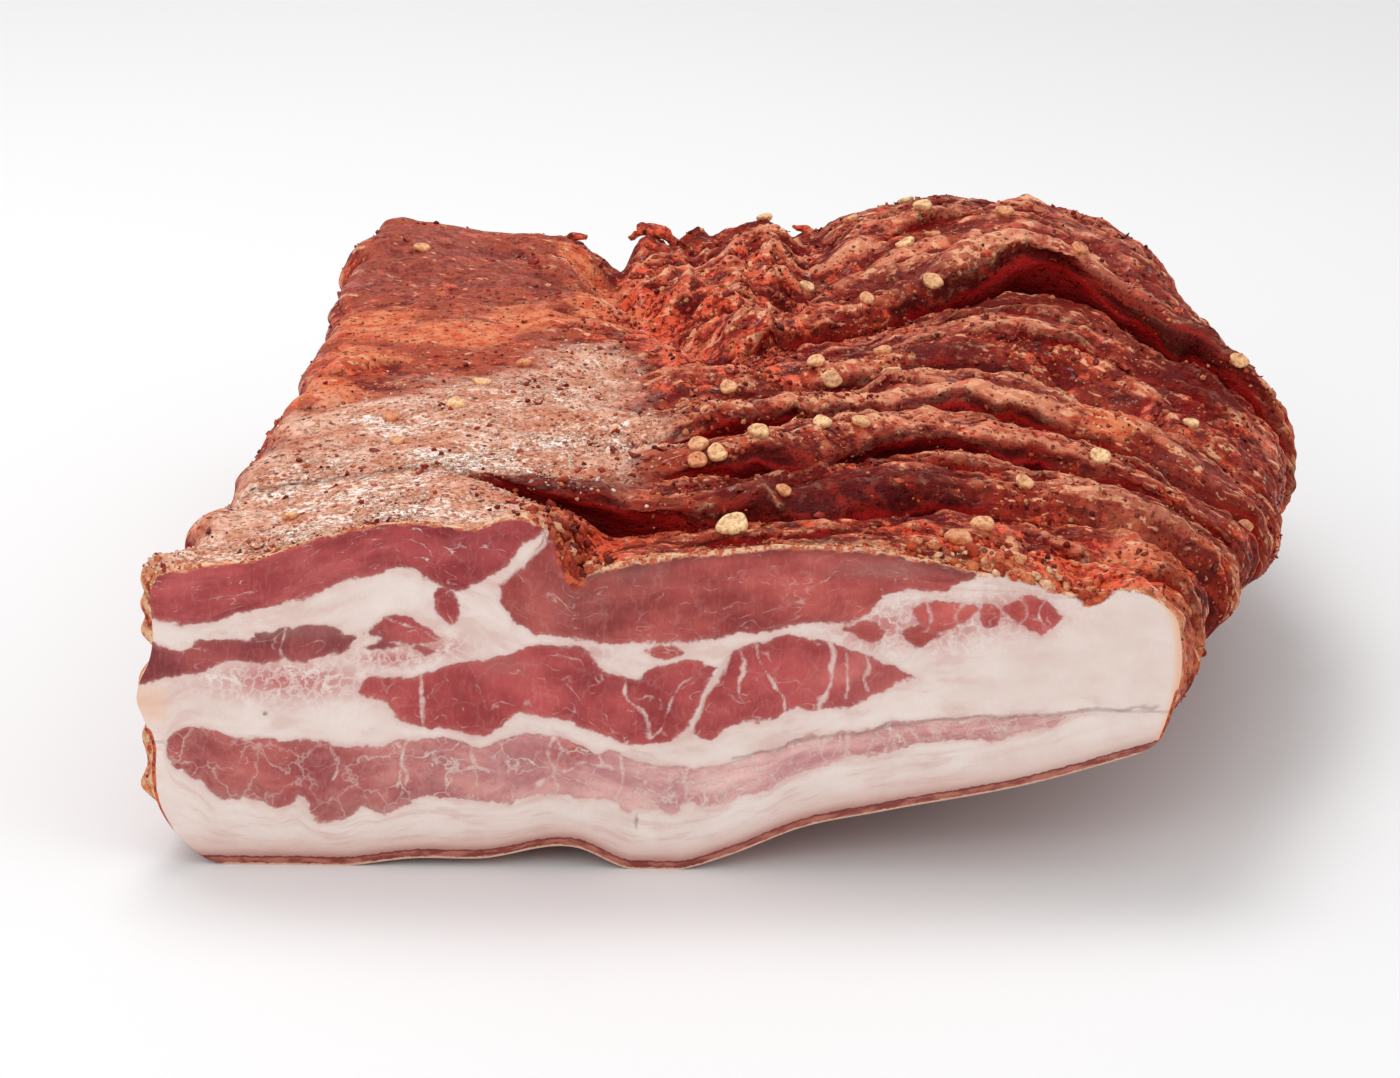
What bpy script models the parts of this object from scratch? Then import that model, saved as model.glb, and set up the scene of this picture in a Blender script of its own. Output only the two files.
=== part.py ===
"""Half of a flat pancetta in its chilli crust: one solid, with the largest chilli seeds fused on.

Metres, +Z up. While the meat is shaped, the left end of the cut is x = 0, the cut lies in y = 0, the
meat runs back along +Y and rests on z = 0. The last step moves the origin to the bottom centre.
"""
import math

import bpy
import numpy as np
from mathutils import Vector

NAME = "pancetta"
LENGTH = 0.306
SHAPE_SEED = 7
SEEDING_SEED = 23

# The cut's upper and lower lines, as places across it and heights.
CUT_TOP = ((0.0, 0.066), (0.009, 0.068), (0.022, 0.070), (0.036, 0.0755), (0.056, 0.079), (0.068, 0.078),
           (0.080, 0.0805), (0.0855, 0.077), (0.0905, 0.068), (0.097, 0.070), (0.113, 0.073),
           (0.157, 0.0748), (0.171, 0.072), (0.191, 0.068), (0.204, 0.065), (0.210, 0.067), (0.2215, 0.067))
CUT_BOTTOM = ((0.0, 0.0), (0.044, 0.0), (0.058, 0.0019), (0.073, 0.0021), (0.094, 0.0049), (0.106, 0.0),
              (0.117, 0.0), (0.128, 0.0036), (0.143, 0.0101), (0.162, 0.0145), (0.195, 0.0216),
              (0.214, 0.0275), (0.2215, 0.030))
CUT_SHAPE_FADES = 0.028
RIGHT_HEM_LIES_DOWN = (0.11, 0.22)
HEM_STARTS = 0.52
HOLLOW_DEPTH = 0.02

# The plan: where the left and right flanks run, as distances back from the cut and places across.
LEFT_EDGE = ((0.0, 0.0), (0.039, 0.0115), (0.089, 0.0235), (0.147, 0.0340), (0.201, 0.0430),
             (0.282, 0.0555), (0.306, 0.060))
RIGHT_EDGE = ((0.0, 0.2215), (0.039, 0.237), (0.078, 0.2525), (0.122, 0.267), (0.156, 0.275),
              (0.195, 0.277), (0.244, 0.273), (0.292, 0.263), (0.306, 0.258))
BACK_EDGE = ((0.0, 0.0), (0.25, -0.003), (0.35, -0.009), (0.42, -0.003), (0.5, -0.001), (0.56, -0.007),
             (0.64, 0.0), (0.85, 0.0), (1.0, -0.008))
BACK_EDGE_FROM = 0.18
BACK_EDGE_BELOW = 0.3

# Height of the upper side behind the cut: rows go back from the cut, columns from left to right.
TOP_ROWS = (0.0, 0.05, 0.12, 0.19, 0.26, 0.306)
TOP_COLUMNS = (0.0, 0.2, 0.4, 0.6, 0.8, 1.0)
TOP_HEIGHTS = ((0.067, 0.078, 0.071, 0.074, 0.070, 0.068),
               (0.069, 0.077, 0.075, 0.074, 0.073, 0.066),
               (0.071, 0.076, 0.075, 0.073, 0.073, 0.068),
               (0.072, 0.074, 0.071, 0.073, 0.077, 0.070),
               (0.073, 0.071, 0.069, 0.075, 0.082, 0.075),
               (0.074, 0.067, 0.068, 0.073, 0.079, 0.071))

# Corner radii at the cut and well behind it: top left, top right, bottom right, bottom left.
CORNERS_AT_CUT = (0.004, 0.014, 0.005, 0.018)
CORNERS_BEHIND = (0.008, 0.024, 0.030, 0.018)
CORNERS_SETTLE = 0.045
SIDE_HEIGHT = 0.066
LEFT_FOOT_IN = 0.004
FLANK_BULGE = 0.004
LEFT_BULGE_SHARE = 0.3
LEFT_FLANK_ENDS = 0.1
RIGHT_FLANK_STARTS = 0.85
END_RADIUS = 0.012
END_THINS = 0.8
END_BULGE = 0.003
END_LUMPS = (0.022, 0.0018)

# Slits between the rolls over the rib beds: places across and back, from the cut to the far end.
# Each roll swells behind its slit up to its crest, which is a share of the way to the next slit.
SLITS = (
    ((0.066, 0.050), (0.080, 0.038), (0.103, 0.031), (0.118, 0.026), (0.144, 0.028), (0.171, 0.036),
     (0.194, 0.040), (0.225, 0.038)),
    ((0.088, 0.048), (0.115, 0.048), (0.143, 0.059), (0.167, 0.076), (0.188, 0.083), (0.209, 0.077),
     (0.240, 0.062)),
    ((0.104, 0.074), (0.133, 0.085), (0.160, 0.102), (0.185, 0.112), (0.210, 0.101), (0.245, 0.080)),
    ((0.120, 0.103), (0.146, 0.118), (0.175, 0.136), (0.208, 0.145), (0.228, 0.128), (0.255, 0.097)),
    ((0.140, 0.153), (0.160, 0.172), (0.184, 0.191), (0.205, 0.213), (0.225, 0.217), (0.240, 0.203),
     (0.254, 0.178), (0.266, 0.160), (0.280, 0.148)),
    ((0.152, 0.214), (0.175, 0.228), (0.205, 0.242), (0.225, 0.243), (0.240, 0.233), (0.252, 0.210),
     (0.264, 0.190), (0.280, 0.172)),
)
ROLL_RISE = (0.0045, 0.0045, 0.0045, 0.005, 0.0085, 0.0045)
ROLL_STARTS = (-0.015, 0.030)
ROLL_CREST = 0.26
ROLL_SLOPES_AWAY = 1.6
LEAST_ROLL = 0.004
LAST_ROLL_ENDS = 0.326
# The crevices either side of the crumbly strip, as distances back and places across, with their depths.
CREVICES = (((0.148, 0.140), (0.184, 0.131), (0.215, 0.124), (0.245, 0.120), (0.306, 0.125)),
            ((0.178, 0.151), (0.211, 0.160), (0.241, 0.169), (0.306, 0.176)))
CREVICE_DEPTHS = (0.006, 0.0045)
CREVICE_WIDTH = 0.007
CREVICE_STARTS = (-0.01, 0.02)
CRUMBLY_EDGES = (0.006, 0.004)
PLEATS_START = 0.009
PLEATS_SINK = 0.002

# Lumps in the crust: their size and how far they stand out, on the whole and on the crumbly strip.
LUMPS = ((0.034, 0.0016), (0.015, 0.0010))
CRUMBS = (0.009, 0.0028)
LUMPS_START = (0.002, 0.014)
RIND_TURNS_UP = (-0.8, -0.3)
REST_WITHIN = 0.0005

# Chilli seeds: the largest first, on the top, the right flank, the left flank and the far end.
SEED_ACROSS = (0.0047, 0.0036)
SEED_LONGER = 1.2
SEED_THICK = 0.0017
SEED_CROWN = 0.7
SEED_LEANS = 0.2
SEED_SIDES = 8
SEEDS_ON_SIDES = (46, 10, 8, 6)
SEED_SPACING = 0.011
SEEDS_FROM_EDGE = 0.06
SEEDS_FROM_CUT = 0.012
SEEDS_UP_END = (0.3, 0.85)
SEEDS_ON_LEFT = 0.25
SEEDS_THICKEN = (0.35, 0.55)

BODY_TRIANGLES = 6600
RING_POINTS = (144, 30, 144, 30)
STATIONS = 120
STATIONS_CROWD = 1.15
END_STEPS = 9


def bend(t, step, ends, slopes):
    """A cubic that leaves one end and reaches the other with the given slopes."""
    rise = (2 * t**3 - 3 * t**2 + 1) * ends[0] + (3 * t**2 - 2 * t**3) * ends[1]
    return rise + step * ((t**3 - 2 * t**2 + t) * slopes[0] + (t**3 - t**2) * slopes[1])


def smooth_line(stations):
    """A smooth curve through (place, value) stations, level beyond its ends."""
    place, value = np.array(stations, float).T
    slope = np.gradient(value, place)

    def at(where):
        where = np.clip(where, place[0], place[-1])
        left = np.clip(np.searchsorted(place, where) - 1, 0, len(place) - 2)
        step = place[left + 1] - place[left]
        t = (where - place[left]) / step
        return bend(t, step, (value[left], value[left + 1]), (slope[left], slope[left + 1]))

    return at


def ease(where, start, end):
    """0 before start, 1 after end, smooth between them."""
    t = np.clip((where - start) / (end - start), 0.0, 1.0)
    return t * t * (3 - 2 * t)


def lumps(points, size, seed):
    """Soft seeded unevenness between -1 and 1, with lumps of the given size."""
    cells = 24
    grid = np.random.RandomState(seed).uniform(-1, 1, (cells, cells, cells))
    low = np.floor(points / size).astype(int)
    t = points / size - low
    t = t * t * (3 - 2 * t)
    total = np.zeros(points.shape[:-1])
    for corner in np.ndindex(2, 2, 2):
        share = np.prod(np.where(corner, t, 1 - t), axis=-1)
        at = (low + corner) % cells
        total += share * grid[at[..., 0], at[..., 1], at[..., 2]]
    return total


def top_behind(across, back):
    """Height of the upper side without its rolls, from the table of heights."""
    lines = np.array([smooth_line(tuple(zip(TOP_COLUMNS, row)))(across) for row in TOP_HEIGHTS])
    rows = np.array(TOP_ROWS)
    slopes = np.gradient(lines, rows, axis=0)
    low = np.clip(np.searchsorted(rows, back) - 1, 0, len(rows) - 2)
    step = rows[low + 1] - rows[low]
    t = np.clip((back - rows[low]) / step, 0, 1)
    here = tuple(np.indices(low.shape))
    near, far = (low,) + here, (low + 1,) + here
    return bend(t, step, (lines[near], lines[far]), (slopes[near], slopes[far]))


def rolls(x, back):
    """Rise of the pleated rolls: each swells quickly behind its slit and slopes away to the next."""
    rise = np.zeros_like(x)
    lines = [smooth_line(slit)(x) for slit in SLITS] + [np.full_like(x, LAST_ROLL_ENDS)]
    for slit, near, far, height in zip(SLITS, lines, lines[1:], ROLL_RISE):
        share = np.clip((back - near) / np.maximum(far - near, LEAST_ROLL), 0, 1)
        swell = ease(share, 0, ROLL_CREST) * (1 - share**ROLL_SLOPES_AWAY)
        start, full = (slit[0][0] + step for step in ROLL_STARTS)
        rise += height * swell * ease(x, start, full)
    return rise


def crevices(x, back):
    """Depth of the crevices, which run from the far edge to the first of the big rolls."""
    depth = np.zeros_like(x)
    for places, deep in zip(CREVICES, CREVICE_DEPTHS):
        start, full = (places[0][0] + step for step in CREVICE_STARTS)
        run = ease(back, start, full)
        depth += deep * run * np.exp(-((x - smooth_line(places)(back)) / CREVICE_WIDTH)**2)
    return depth


def top(across, x, back):
    """Height of the upper side."""
    height = top_behind(across, back)
    at_cut = smooth_line(CUT_TOP)(across * CUT_TOP[-1][0]) - top_behind(across, np.zeros_like(back))
    near_cut = np.exp(-(back / CUT_SHAPE_FADES)**2)
    behind = 1 - np.exp(-(back / PLEATS_START)**2)
    return height + at_cut * near_cut + behind * (rolls(x, back) - crevices(x, back) - PLEATS_SINK)


def bottom(across, back):
    """Height of the rind: flat where it rests, raised towards the right at the cut."""
    at_cut = np.maximum(smooth_line(CUT_BOTTOM)(across * CUT_BOTTOM[-1][0]), 0)
    hem = at_cut * (1 - ease(back, *RIGHT_HEM_LIES_DOWN))
    hollow = at_cut * np.exp(-(back / HOLLOW_DEPTH)**2)
    return np.where(across > HEM_STARTS, hem, hollow)


def round_corner(along, radius):
    """Walk off the corner of a square onto its arc: distance in from the end, from the side, and turn."""
    turn = math.pi / 4 * (1 - np.clip(along / radius, 0, 1))
    return np.where(along < radius, radius * (1 - np.sin(turn)), along), radius * (1 - np.cos(turn)), turn


def by_side(side, values):
    """The value that belongs to each point's side."""
    return np.select([side == 0, side == 1, side == 2], values[:3], values[3])


def ring(points):
    """Places round a section: side (0 top, 1 right, 2 bottom, 3 left) and how far along that side."""
    side = np.concatenate([np.full(count, number) for number, count in enumerate(points)])
    share = np.concatenate([np.arange(count) / count for count in points])
    return side, share


def section(side, share, back):
    """Points of the skin for places round a section and distances back, and the way out of it there."""
    left = smooth_line(LEFT_EDGE)(back)
    right = smooth_line(RIGHT_EDGE)(back)
    width = right - left
    settle = ease(back, 0.0, CORNERS_SETTLE)
    radii = [a + (b - a) * settle for a, b in zip(CORNERS_AT_CUT, CORNERS_BEHIND)]
    length = by_side(side, [width, SIDE_HEIGHT, width, SIDE_HEIGHT])
    along = share * length
    near_in, near_off, near_turn = round_corner(along, by_side(side, radii))
    far_in, far_off, far_turn = round_corner(length - along, by_side(side, radii[1:] + radii[:1]))
    along = np.where(along < length / 2, near_in, length - far_in)
    off = near_off + far_off
    x_in = by_side(side, [along, width - off, width - along, off])
    up = by_side(side, [SIDE_HEIGHT - off, SIDE_HEIGHT - along, off, along]) / SIDE_HEIGHT
    across = x_in / width
    height = top(across, left + x_in, back)
    low = bottom(across, back)
    at_left, at_right = 1 - ease(across, 0.0, LEFT_FLANK_ENDS), ease(across, RIGHT_FLANK_STARTS, 1.0)
    bulge = FLANK_BULGE * np.sin(math.pi * up) * (at_right - LEFT_BULGE_SHARE * at_left)
    foot = LEFT_FOOT_IN * (1 - ease(up, 0.0, 0.5)) * at_left
    turn = math.pi / 2 * side - near_turn + far_turn
    points = np.stack([left + x_in + bulge + foot, back + 0 * x_in, low + up * (height - low)], -1)
    return points, np.stack([np.sin(turn), 0 * turn, np.cos(turn)], -1)


def crumbly(x, back, upward):
    """1 on the crumbly strip between the crevices, 0 off it."""
    left, right = (smooth_line(places)(back) for places in CREVICES)
    across = ease(x, left, left + CRUMBLY_EDGES[0]) * (1 - ease(x, right, right + CRUMBLY_EDGES[1]))
    start, full = (CREVICES[0][0][0] + step for step in CREVICE_STARTS)
    return across * ease(back, start, full) * (upward > 0.5)


def skin(side, share, back):
    """Points of the finished skin, with its broad lumps and the crumbs on the crumbly strip."""
    points, out = section(side, share, back)
    upward = out[..., 2]
    broad = sum(high * lumps(points, size, SHAPE_SEED + number)
                for number, (size, high) in enumerate(LUMPS))
    crumbs = CRUMBS[1] * lumps(points, CRUMBS[0], SHAPE_SEED - 1)
    lift = broad * ease(upward, *RIND_TURNS_UP) + crumbs * crumbly(points[..., 0], points[..., 1], upward)
    return points + out * (lift * ease(back, *LUMPS_START))[..., None]


def end_rounding():
    """Distances back of the stations, and how far each is drawn in towards its middle at the far end."""
    straight = np.linspace(0, 1, STATIONS)**STATIONS_CROWD * (LENGTH - END_RADIUS)
    angle = np.linspace(0, math.pi / 2, END_STEPS)[1:]
    rounded = LENGTH - END_RADIUS + END_RADIUS * np.sin(angle)
    inset = np.concatenate([np.zeros(STATIONS), END_RADIUS * (1 - np.cos(angle))])
    return np.concatenate([straight, rounded]), inset


def draw_in(points, inset, back):
    """Round the far end: draw each section in and let the end follow its uneven edge."""
    low, high = points[:, :, 2].min(1, keepdims=True), points[:, :, 2].max(1, keepdims=True)
    left, right = points[:, :, 0].min(1, keepdims=True), points[:, :, 0].max(1, keepdims=True)
    middle_x, middle_z = (left + right) / 2, (low + high) / 2
    narrow = 1 - inset[:, None] / (right - middle_x)
    thin = 1 - END_THINS * inset[:, None] / (high - middle_z)
    x = middle_x + (points[:, :, 0] - middle_x) * narrow
    z = middle_z + (points[:, :, 2] - middle_z) * thin
    up = (z - low) / (high - low)
    uneven = smooth_line(BACK_EDGE)((x - left) / (right - left))
    uneven = uneven * (BACK_EDGE_BELOW + (1 - BACK_EDGE_BELOW) * up)
    y = points[:, :, 1] + uneven * ease(back, BACK_EDGE_FROM, LENGTH)[:, None]
    return np.stack([x, y, z], -1)


def end_patch(edge):
    """Points of a patch stretched between the four sides of the last section."""
    wide, high = RING_POINTS[:2]
    top_edge, right_edge = edge[:wide + 1], edge[wide:wide + high + 1]
    bottom_edge = edge[wide + high:2 * wide + high + 1][::-1]
    left_edge = np.concatenate([edge[2 * wide + high:], edge[:1]])[::-1]
    u = np.linspace(0, 1, wide + 1)[None, :, None]
    v = np.linspace(0, 1, high + 1)[:, None, None]
    across = (1 - v) * top_edge[None] + v * bottom_edge[None]
    down = (1 - u) * left_edge[:, None] + u * right_edge[:, None]
    corners = ((1 - v) * ((1 - u) * edge[0] + u * edge[wide])
               + v * ((1 - u) * left_edge[-1] + u * right_edge[-1]))
    patch = across + down - corners
    off_edge = (np.sin(math.pi * u) * np.sin(math.pi * v))[..., 0]
    lumpy = END_LUMPS[1] * lumps(patch, END_LUMPS[0], SHAPE_SEED)
    patch[..., 1] += off_edge**0.5 * (END_BULGE + lumpy)
    return patch


def body_mesh():
    """The meat as one closed grid: sections from the cut to the far end, the flat cut and the end."""
    side, share = ring(RING_POINTS)
    back, inset = end_rounding()
    grid = np.broadcast_arrays(side[None, :], share[None, :], back[:, None])
    points = draw_in(skin(*grid), inset, back)
    rows, columns = points.shape[:2]
    corners = [tuple(p) for p in points.reshape(-1, 3)]
    faces = [tuple(reversed(range(columns)))]
    for row in range(rows - 1):
        for column in range(columns):
            following = (column + 1) % columns
            faces.append((row * columns + column, row * columns + following,
                          (row + 1) * columns + following, (row + 1) * columns + column))
    wide, high = RING_POINTS[:2]
    last = (rows - 1) * columns
    numbers = np.zeros((high + 1, wide + 1), int)
    numbers[0] = last + np.arange(wide + 1)
    numbers[:, -1] = last + wide + np.arange(high + 1)
    numbers[-1] = last + 2 * wide + high - np.arange(wide + 1)
    numbers[1:, 0] = last + columns - np.arange(1, high + 1)
    numbers[1:-1, 1:-1] = len(corners) + np.arange((high - 1) * (wide - 1)).reshape(high - 1, wide - 1)
    corners += [tuple(p) for p in end_patch(points[-1])[1:-1, 1:-1].reshape(-1, 3)]
    for row, column in np.ndindex(high, wide):
        faces.append((numbers[row, column], numbers[row, column + 1],
                      numbers[row + 1, column + 1], numbers[row + 1, column]))
    mesh = bpy.data.meshes.new(NAME)
    mesh.from_pydata(corners, [], [[int(number) for number in face] for face in faces])
    return mesh


def crust_material():
    """Dark red, chilli-coated crust."""
    material = bpy.data.materials.new("chilli_crust")
    material.use_nodes = True
    shader = material.node_tree.nodes["Principled BSDF"]
    shader.inputs["Base Color"].default_value = (0.19, 0.035, 0.025, 1)
    shader.inputs["Roughness"].default_value = 0.6
    shader.inputs["Metallic"].default_value = 0.0
    return material


def triangles(thing):
    """How many triangles a mesh object has."""
    return sum(len(face.vertices) - 2 for face in thing.data.polygons)


def use_modifier(thing, kind, **settings):
    """Put a modifier on an object and apply it."""
    modifier = thing.modifiers.new(kind.lower(), kind)
    for name, value in settings.items():
        setattr(modifier, name, value)
    bpy.context.view_layer.update()
    view = bpy.context.evaluated_depsgraph_get()
    done = bpy.data.meshes.new_from_object(thing.evaluated_get(view))
    thing.modifiers.clear()
    thing.data = done


def add_body():
    """The meat as an object, with its flat stretches in large faces."""
    body = bpy.data.objects.new(NAME, body_mesh())
    bpy.context.scene.collection.objects.link(body)
    body.data.materials.append(crust_material())
    use_modifier(body, "DECIMATE", ratio=BODY_TRIANGLES / triangles(body))
    return body


def on_skin(side, share, back, height):
    """A place on one of the three crusted sides, or by the far end for side 3."""
    if side == 3:
        left, right = LEFT_EDGE[-1][1], RIGHT_EDGE[-1][1]
        return np.array([left + share * (right - left), LENGTH, height * SIDE_HEIGHT])
    number = (0, 1, 3)[side]
    return skin(np.array([number]), np.array([share]), np.array([back]))[0]


def seed_places():
    """Places of the seeds: drawn with a fixed seed, kept apart, thick on the rolls and thin on the left."""
    draw = np.random.RandomState(SEEDING_SEED)
    kept = []
    for side, count in enumerate(SEEDS_ON_SIDES):
        wanted = len(kept) + count
        while len(kept) < wanted:
            share = draw.uniform(SEEDS_FROM_EDGE, 1 - SEEDS_FROM_EDGE)
            back = draw.uniform(SEEDS_FROM_CUT, LENGTH - END_RADIUS)
            height, chance = draw.uniform(*SEEDS_UP_END), draw.uniform()
            thickness = SEEDS_ON_LEFT + (1 - SEEDS_ON_LEFT) * float(ease(share, *SEEDS_THICKEN))
            place = on_skin(side, share, back, height)
            lone = all(np.linalg.norm(place - other) > SEED_SPACING for other in kept)
            if lone and (side > 0 or chance < thickness):
                kept.append(place)
    return kept


def seed_mesh(across, longer):
    """One flat chilli seed: a rim, a raised middle and a hidden point below."""
    mesh = bpy.data.meshes.new("seed")
    turns = [2 * math.pi * number / SEED_SIDES for number in range(SEED_SIDES)]
    rim = [(across / 2 * longer * math.cos(turn), across / 2 * math.sin(turn), 0.0) for turn in turns]
    crown = [(SEED_CROWN * x, SEED_CROWN * y, SEED_THICK / 2) for x, y, _ in rim]
    faces = [tuple(range(SEED_SIDES, 2 * SEED_SIDES))]
    for number in range(SEED_SIDES):
        following = (number + 1) % SEED_SIDES
        faces.append((number, following, SEED_SIDES + following, SEED_SIDES + number))
        faces.append((following, number, 2 * SEED_SIDES))
    mesh.from_pydata(rim + crown + [(0.0, 0.0, -SEED_THICK)], [], faces)
    return mesh


def fuse_seeds(body):
    """Lay the seeds on the crust and join them to it with one union."""
    draw = np.random.RandomState(SEEDING_SEED + 1)
    places = seed_places()
    seeds = bpy.data.collections.new("seeds")
    bpy.context.scene.collection.children.link(seeds)
    for place, across in zip(places, np.linspace(*SEED_ACROSS, len(places))):
        _, spot, normal, _ = body.closest_point_on_mesh(Vector(place))
        seed = bpy.data.objects.new("seed", seed_mesh(across, draw.uniform(1.0, SEED_LONGER)))
        seed.rotation_mode = "QUATERNION"
        lean = normal + Vector(draw.uniform(-SEED_LEANS, SEED_LEANS, 3))
        seed.rotation_quaternion = lean.to_track_quat("Z", "Y")
        seed.location = spot
        seeds.objects.link(seed)
    use_modifier(body, "BOOLEAN", operation="UNION", solver="EXACT", operand_type="COLLECTION",
                 collection=seeds)
    for seed in list(seeds.objects):
        bpy.data.objects.remove(seed)
    bpy.data.collections.remove(seeds)


def centre(body):
    """Move the origin to the bottom centre of the whole, and press the rind level where it rests."""
    corners = np.array([vertex.co for vertex in body.data.vertices])
    low, high = corners.min(0), corners.max(0)
    shift = Vector((-(low[0] + high[0]) / 2, -(low[1] + high[1]) / 2, -low[2]))
    for vertex in body.data.vertices:
        vertex.co += shift
        if vertex.co.z < REST_WITHIN:
            vertex.co.z = 0.0


def main():
    for thing in list(bpy.data.objects):
        bpy.data.objects.remove(thing)
    body = add_body()
    fuse_seeds(body)
    centre(body)
    body.data.shade_smooth()


main()
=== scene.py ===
"""Looks of half a flat pancetta: marbled cut, chilli crust, rind, seeds, flakes and crumbs.

Metres, +Z up. The meat is shaped in the frame of its cut: the cut's left end is x = 0, the cut lies in
y = 0 and the meat runs back along +Y. Each finished piece is then moved by PLACE to where the solid is.
"""
import math
from types import SimpleNamespace

import bpy
import numpy as np
from mathutils import Matrix, Vector


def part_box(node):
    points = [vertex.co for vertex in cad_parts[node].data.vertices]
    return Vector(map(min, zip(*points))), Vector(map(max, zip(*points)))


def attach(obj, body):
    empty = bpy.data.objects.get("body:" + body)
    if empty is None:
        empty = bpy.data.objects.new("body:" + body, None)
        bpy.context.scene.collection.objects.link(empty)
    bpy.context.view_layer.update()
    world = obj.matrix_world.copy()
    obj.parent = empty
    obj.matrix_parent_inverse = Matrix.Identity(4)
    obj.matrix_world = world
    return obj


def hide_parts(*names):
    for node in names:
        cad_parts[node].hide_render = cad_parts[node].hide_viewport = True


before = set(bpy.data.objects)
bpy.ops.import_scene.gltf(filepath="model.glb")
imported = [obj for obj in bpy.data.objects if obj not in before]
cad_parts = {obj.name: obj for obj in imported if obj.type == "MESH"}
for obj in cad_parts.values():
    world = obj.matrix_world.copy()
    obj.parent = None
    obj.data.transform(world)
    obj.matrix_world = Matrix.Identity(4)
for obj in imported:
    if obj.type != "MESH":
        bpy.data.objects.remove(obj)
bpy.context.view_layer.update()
SOLID_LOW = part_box("pancetta")[0]
MM = 0.001

# The form of the meat, as in the solid: the cut's upper and lower lines, places across and heights.
LENGTH = 0.306
SHAPE_SEED = 7
LUMP_CELLS = 24
SEEDING_SEED = 23
CUT_TOP = ((0.0, 0.066), (0.009, 0.068), (0.022, 0.070), (0.036, 0.0755), (0.056, 0.079), (0.068, 0.078),
           (0.080, 0.0805), (0.0855, 0.077), (0.0905, 0.068), (0.097, 0.070), (0.113, 0.073),
           (0.157, 0.0748), (0.171, 0.072), (0.191, 0.068), (0.204, 0.065), (0.210, 0.067), (0.2215, 0.067))
CUT_BOTTOM = ((0.0, 0.0), (0.044, 0.0), (0.058, 0.0019), (0.073, 0.0021), (0.094, 0.0049), (0.106, 0.0),
              (0.117, 0.0), (0.128, 0.0036), (0.143, 0.0101), (0.162, 0.0145), (0.195, 0.0216),
              (0.214, 0.0275), (0.2215, 0.030))
CUT_WIDTH = 0.2215
CUT_SHAPE_FADES = 0.028
RIGHT_HEM_LIES_DOWN = (0.11, 0.22)
HEM_STARTS = 0.52
HOLLOW_DEPTH = 0.02

# The plan: where the flanks run, as distances back from the cut and places across, and the far edge.
LEFT_EDGE = ((0.0, 0.0), (0.039, 0.0115), (0.089, 0.0235), (0.147, 0.0340), (0.201, 0.0430),
             (0.282, 0.0555), (0.306, 0.060))
RIGHT_EDGE = ((0.0, 0.2215), (0.039, 0.237), (0.078, 0.2525), (0.122, 0.267), (0.156, 0.275),
              (0.195, 0.277), (0.244, 0.273), (0.292, 0.263), (0.306, 0.258))
BACK_EDGE = ((0.0, 0.0), (0.25, -0.003), (0.35, -0.009), (0.42, -0.003), (0.5, -0.001), (0.56, -0.007),
             (0.64, 0.0), (0.85, 0.0), (1.0, -0.008))
BACK_EDGE_FROM = 0.18
BACK_EDGE_BELOW = 0.3

# Height of the upper side behind the cut: rows go back from the cut, columns from left to right.
TOP_ROWS = (0.0, 0.05, 0.12, 0.19, 0.26, 0.306)
TOP_COLUMNS = (0.0, 0.2, 0.4, 0.6, 0.8, 1.0)
TOP_HEIGHTS = ((0.067, 0.078, 0.071, 0.074, 0.070, 0.068),
               (0.069, 0.077, 0.075, 0.074, 0.073, 0.066),
               (0.071, 0.076, 0.075, 0.073, 0.073, 0.068),
               (0.072, 0.074, 0.071, 0.073, 0.077, 0.070),
               (0.073, 0.071, 0.069, 0.075, 0.082, 0.075),
               (0.074, 0.067, 0.068, 0.073, 0.079, 0.071))

# Corner radii at the cut and well behind it: top left, top right, bottom right, bottom left.
CORNERS_AT_CUT = (0.004, 0.014, 0.005, 0.018)
CORNERS_BEHIND = (0.008, 0.024, 0.030, 0.018)
CORNERS_SETTLE = 0.045
SIDE_HEIGHT = 0.066
LEFT_FOOT_IN = 0.004
FLANK_BULGE = 0.004
LEFT_BULGE_SHARE = 0.3
LEFT_FLANK_ENDS = 0.1
RIGHT_FLANK_STARTS = 0.85
END_RADIUS = 0.012
END_THINS = 0.8
END_BULGE = 0.003
END_LUMPS = (0.022, 0.0018)

# Slits between the rolls over the rib beds: places across and back, from the cut to the far end.
SLITS = (
    ((0.066, 0.050), (0.080, 0.038), (0.103, 0.031), (0.118, 0.026), (0.144, 0.028), (0.171, 0.036),
     (0.194, 0.040), (0.225, 0.038)),
    ((0.088, 0.048), (0.115, 0.048), (0.143, 0.059), (0.167, 0.076), (0.188, 0.083), (0.209, 0.077),
     (0.240, 0.062)),
    ((0.104, 0.074), (0.133, 0.085), (0.160, 0.102), (0.185, 0.112), (0.210, 0.101), (0.245, 0.080)),
    ((0.120, 0.103), (0.146, 0.118), (0.175, 0.136), (0.208, 0.145), (0.228, 0.128), (0.255, 0.097)),
    ((0.140, 0.153), (0.160, 0.172), (0.184, 0.191), (0.205, 0.213), (0.225, 0.217), (0.240, 0.203),
     (0.254, 0.178), (0.266, 0.160), (0.280, 0.148)),
    ((0.152, 0.214), (0.175, 0.228), (0.205, 0.242), (0.225, 0.243), (0.240, 0.233), (0.252, 0.210),
     (0.264, 0.190), (0.280, 0.172)),
)
ROLL_RISE = (0.0045, 0.0045, 0.0045, 0.005, 0.0085, 0.0045)
ROLL_STARTS = (-0.015, 0.030)
ROLL_CREST = 0.26
ROLL_SLOPES_AWAY = 1.6
LEAST_ROLL = 0.004
LAST_ROLL_ENDS = 0.326
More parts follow.
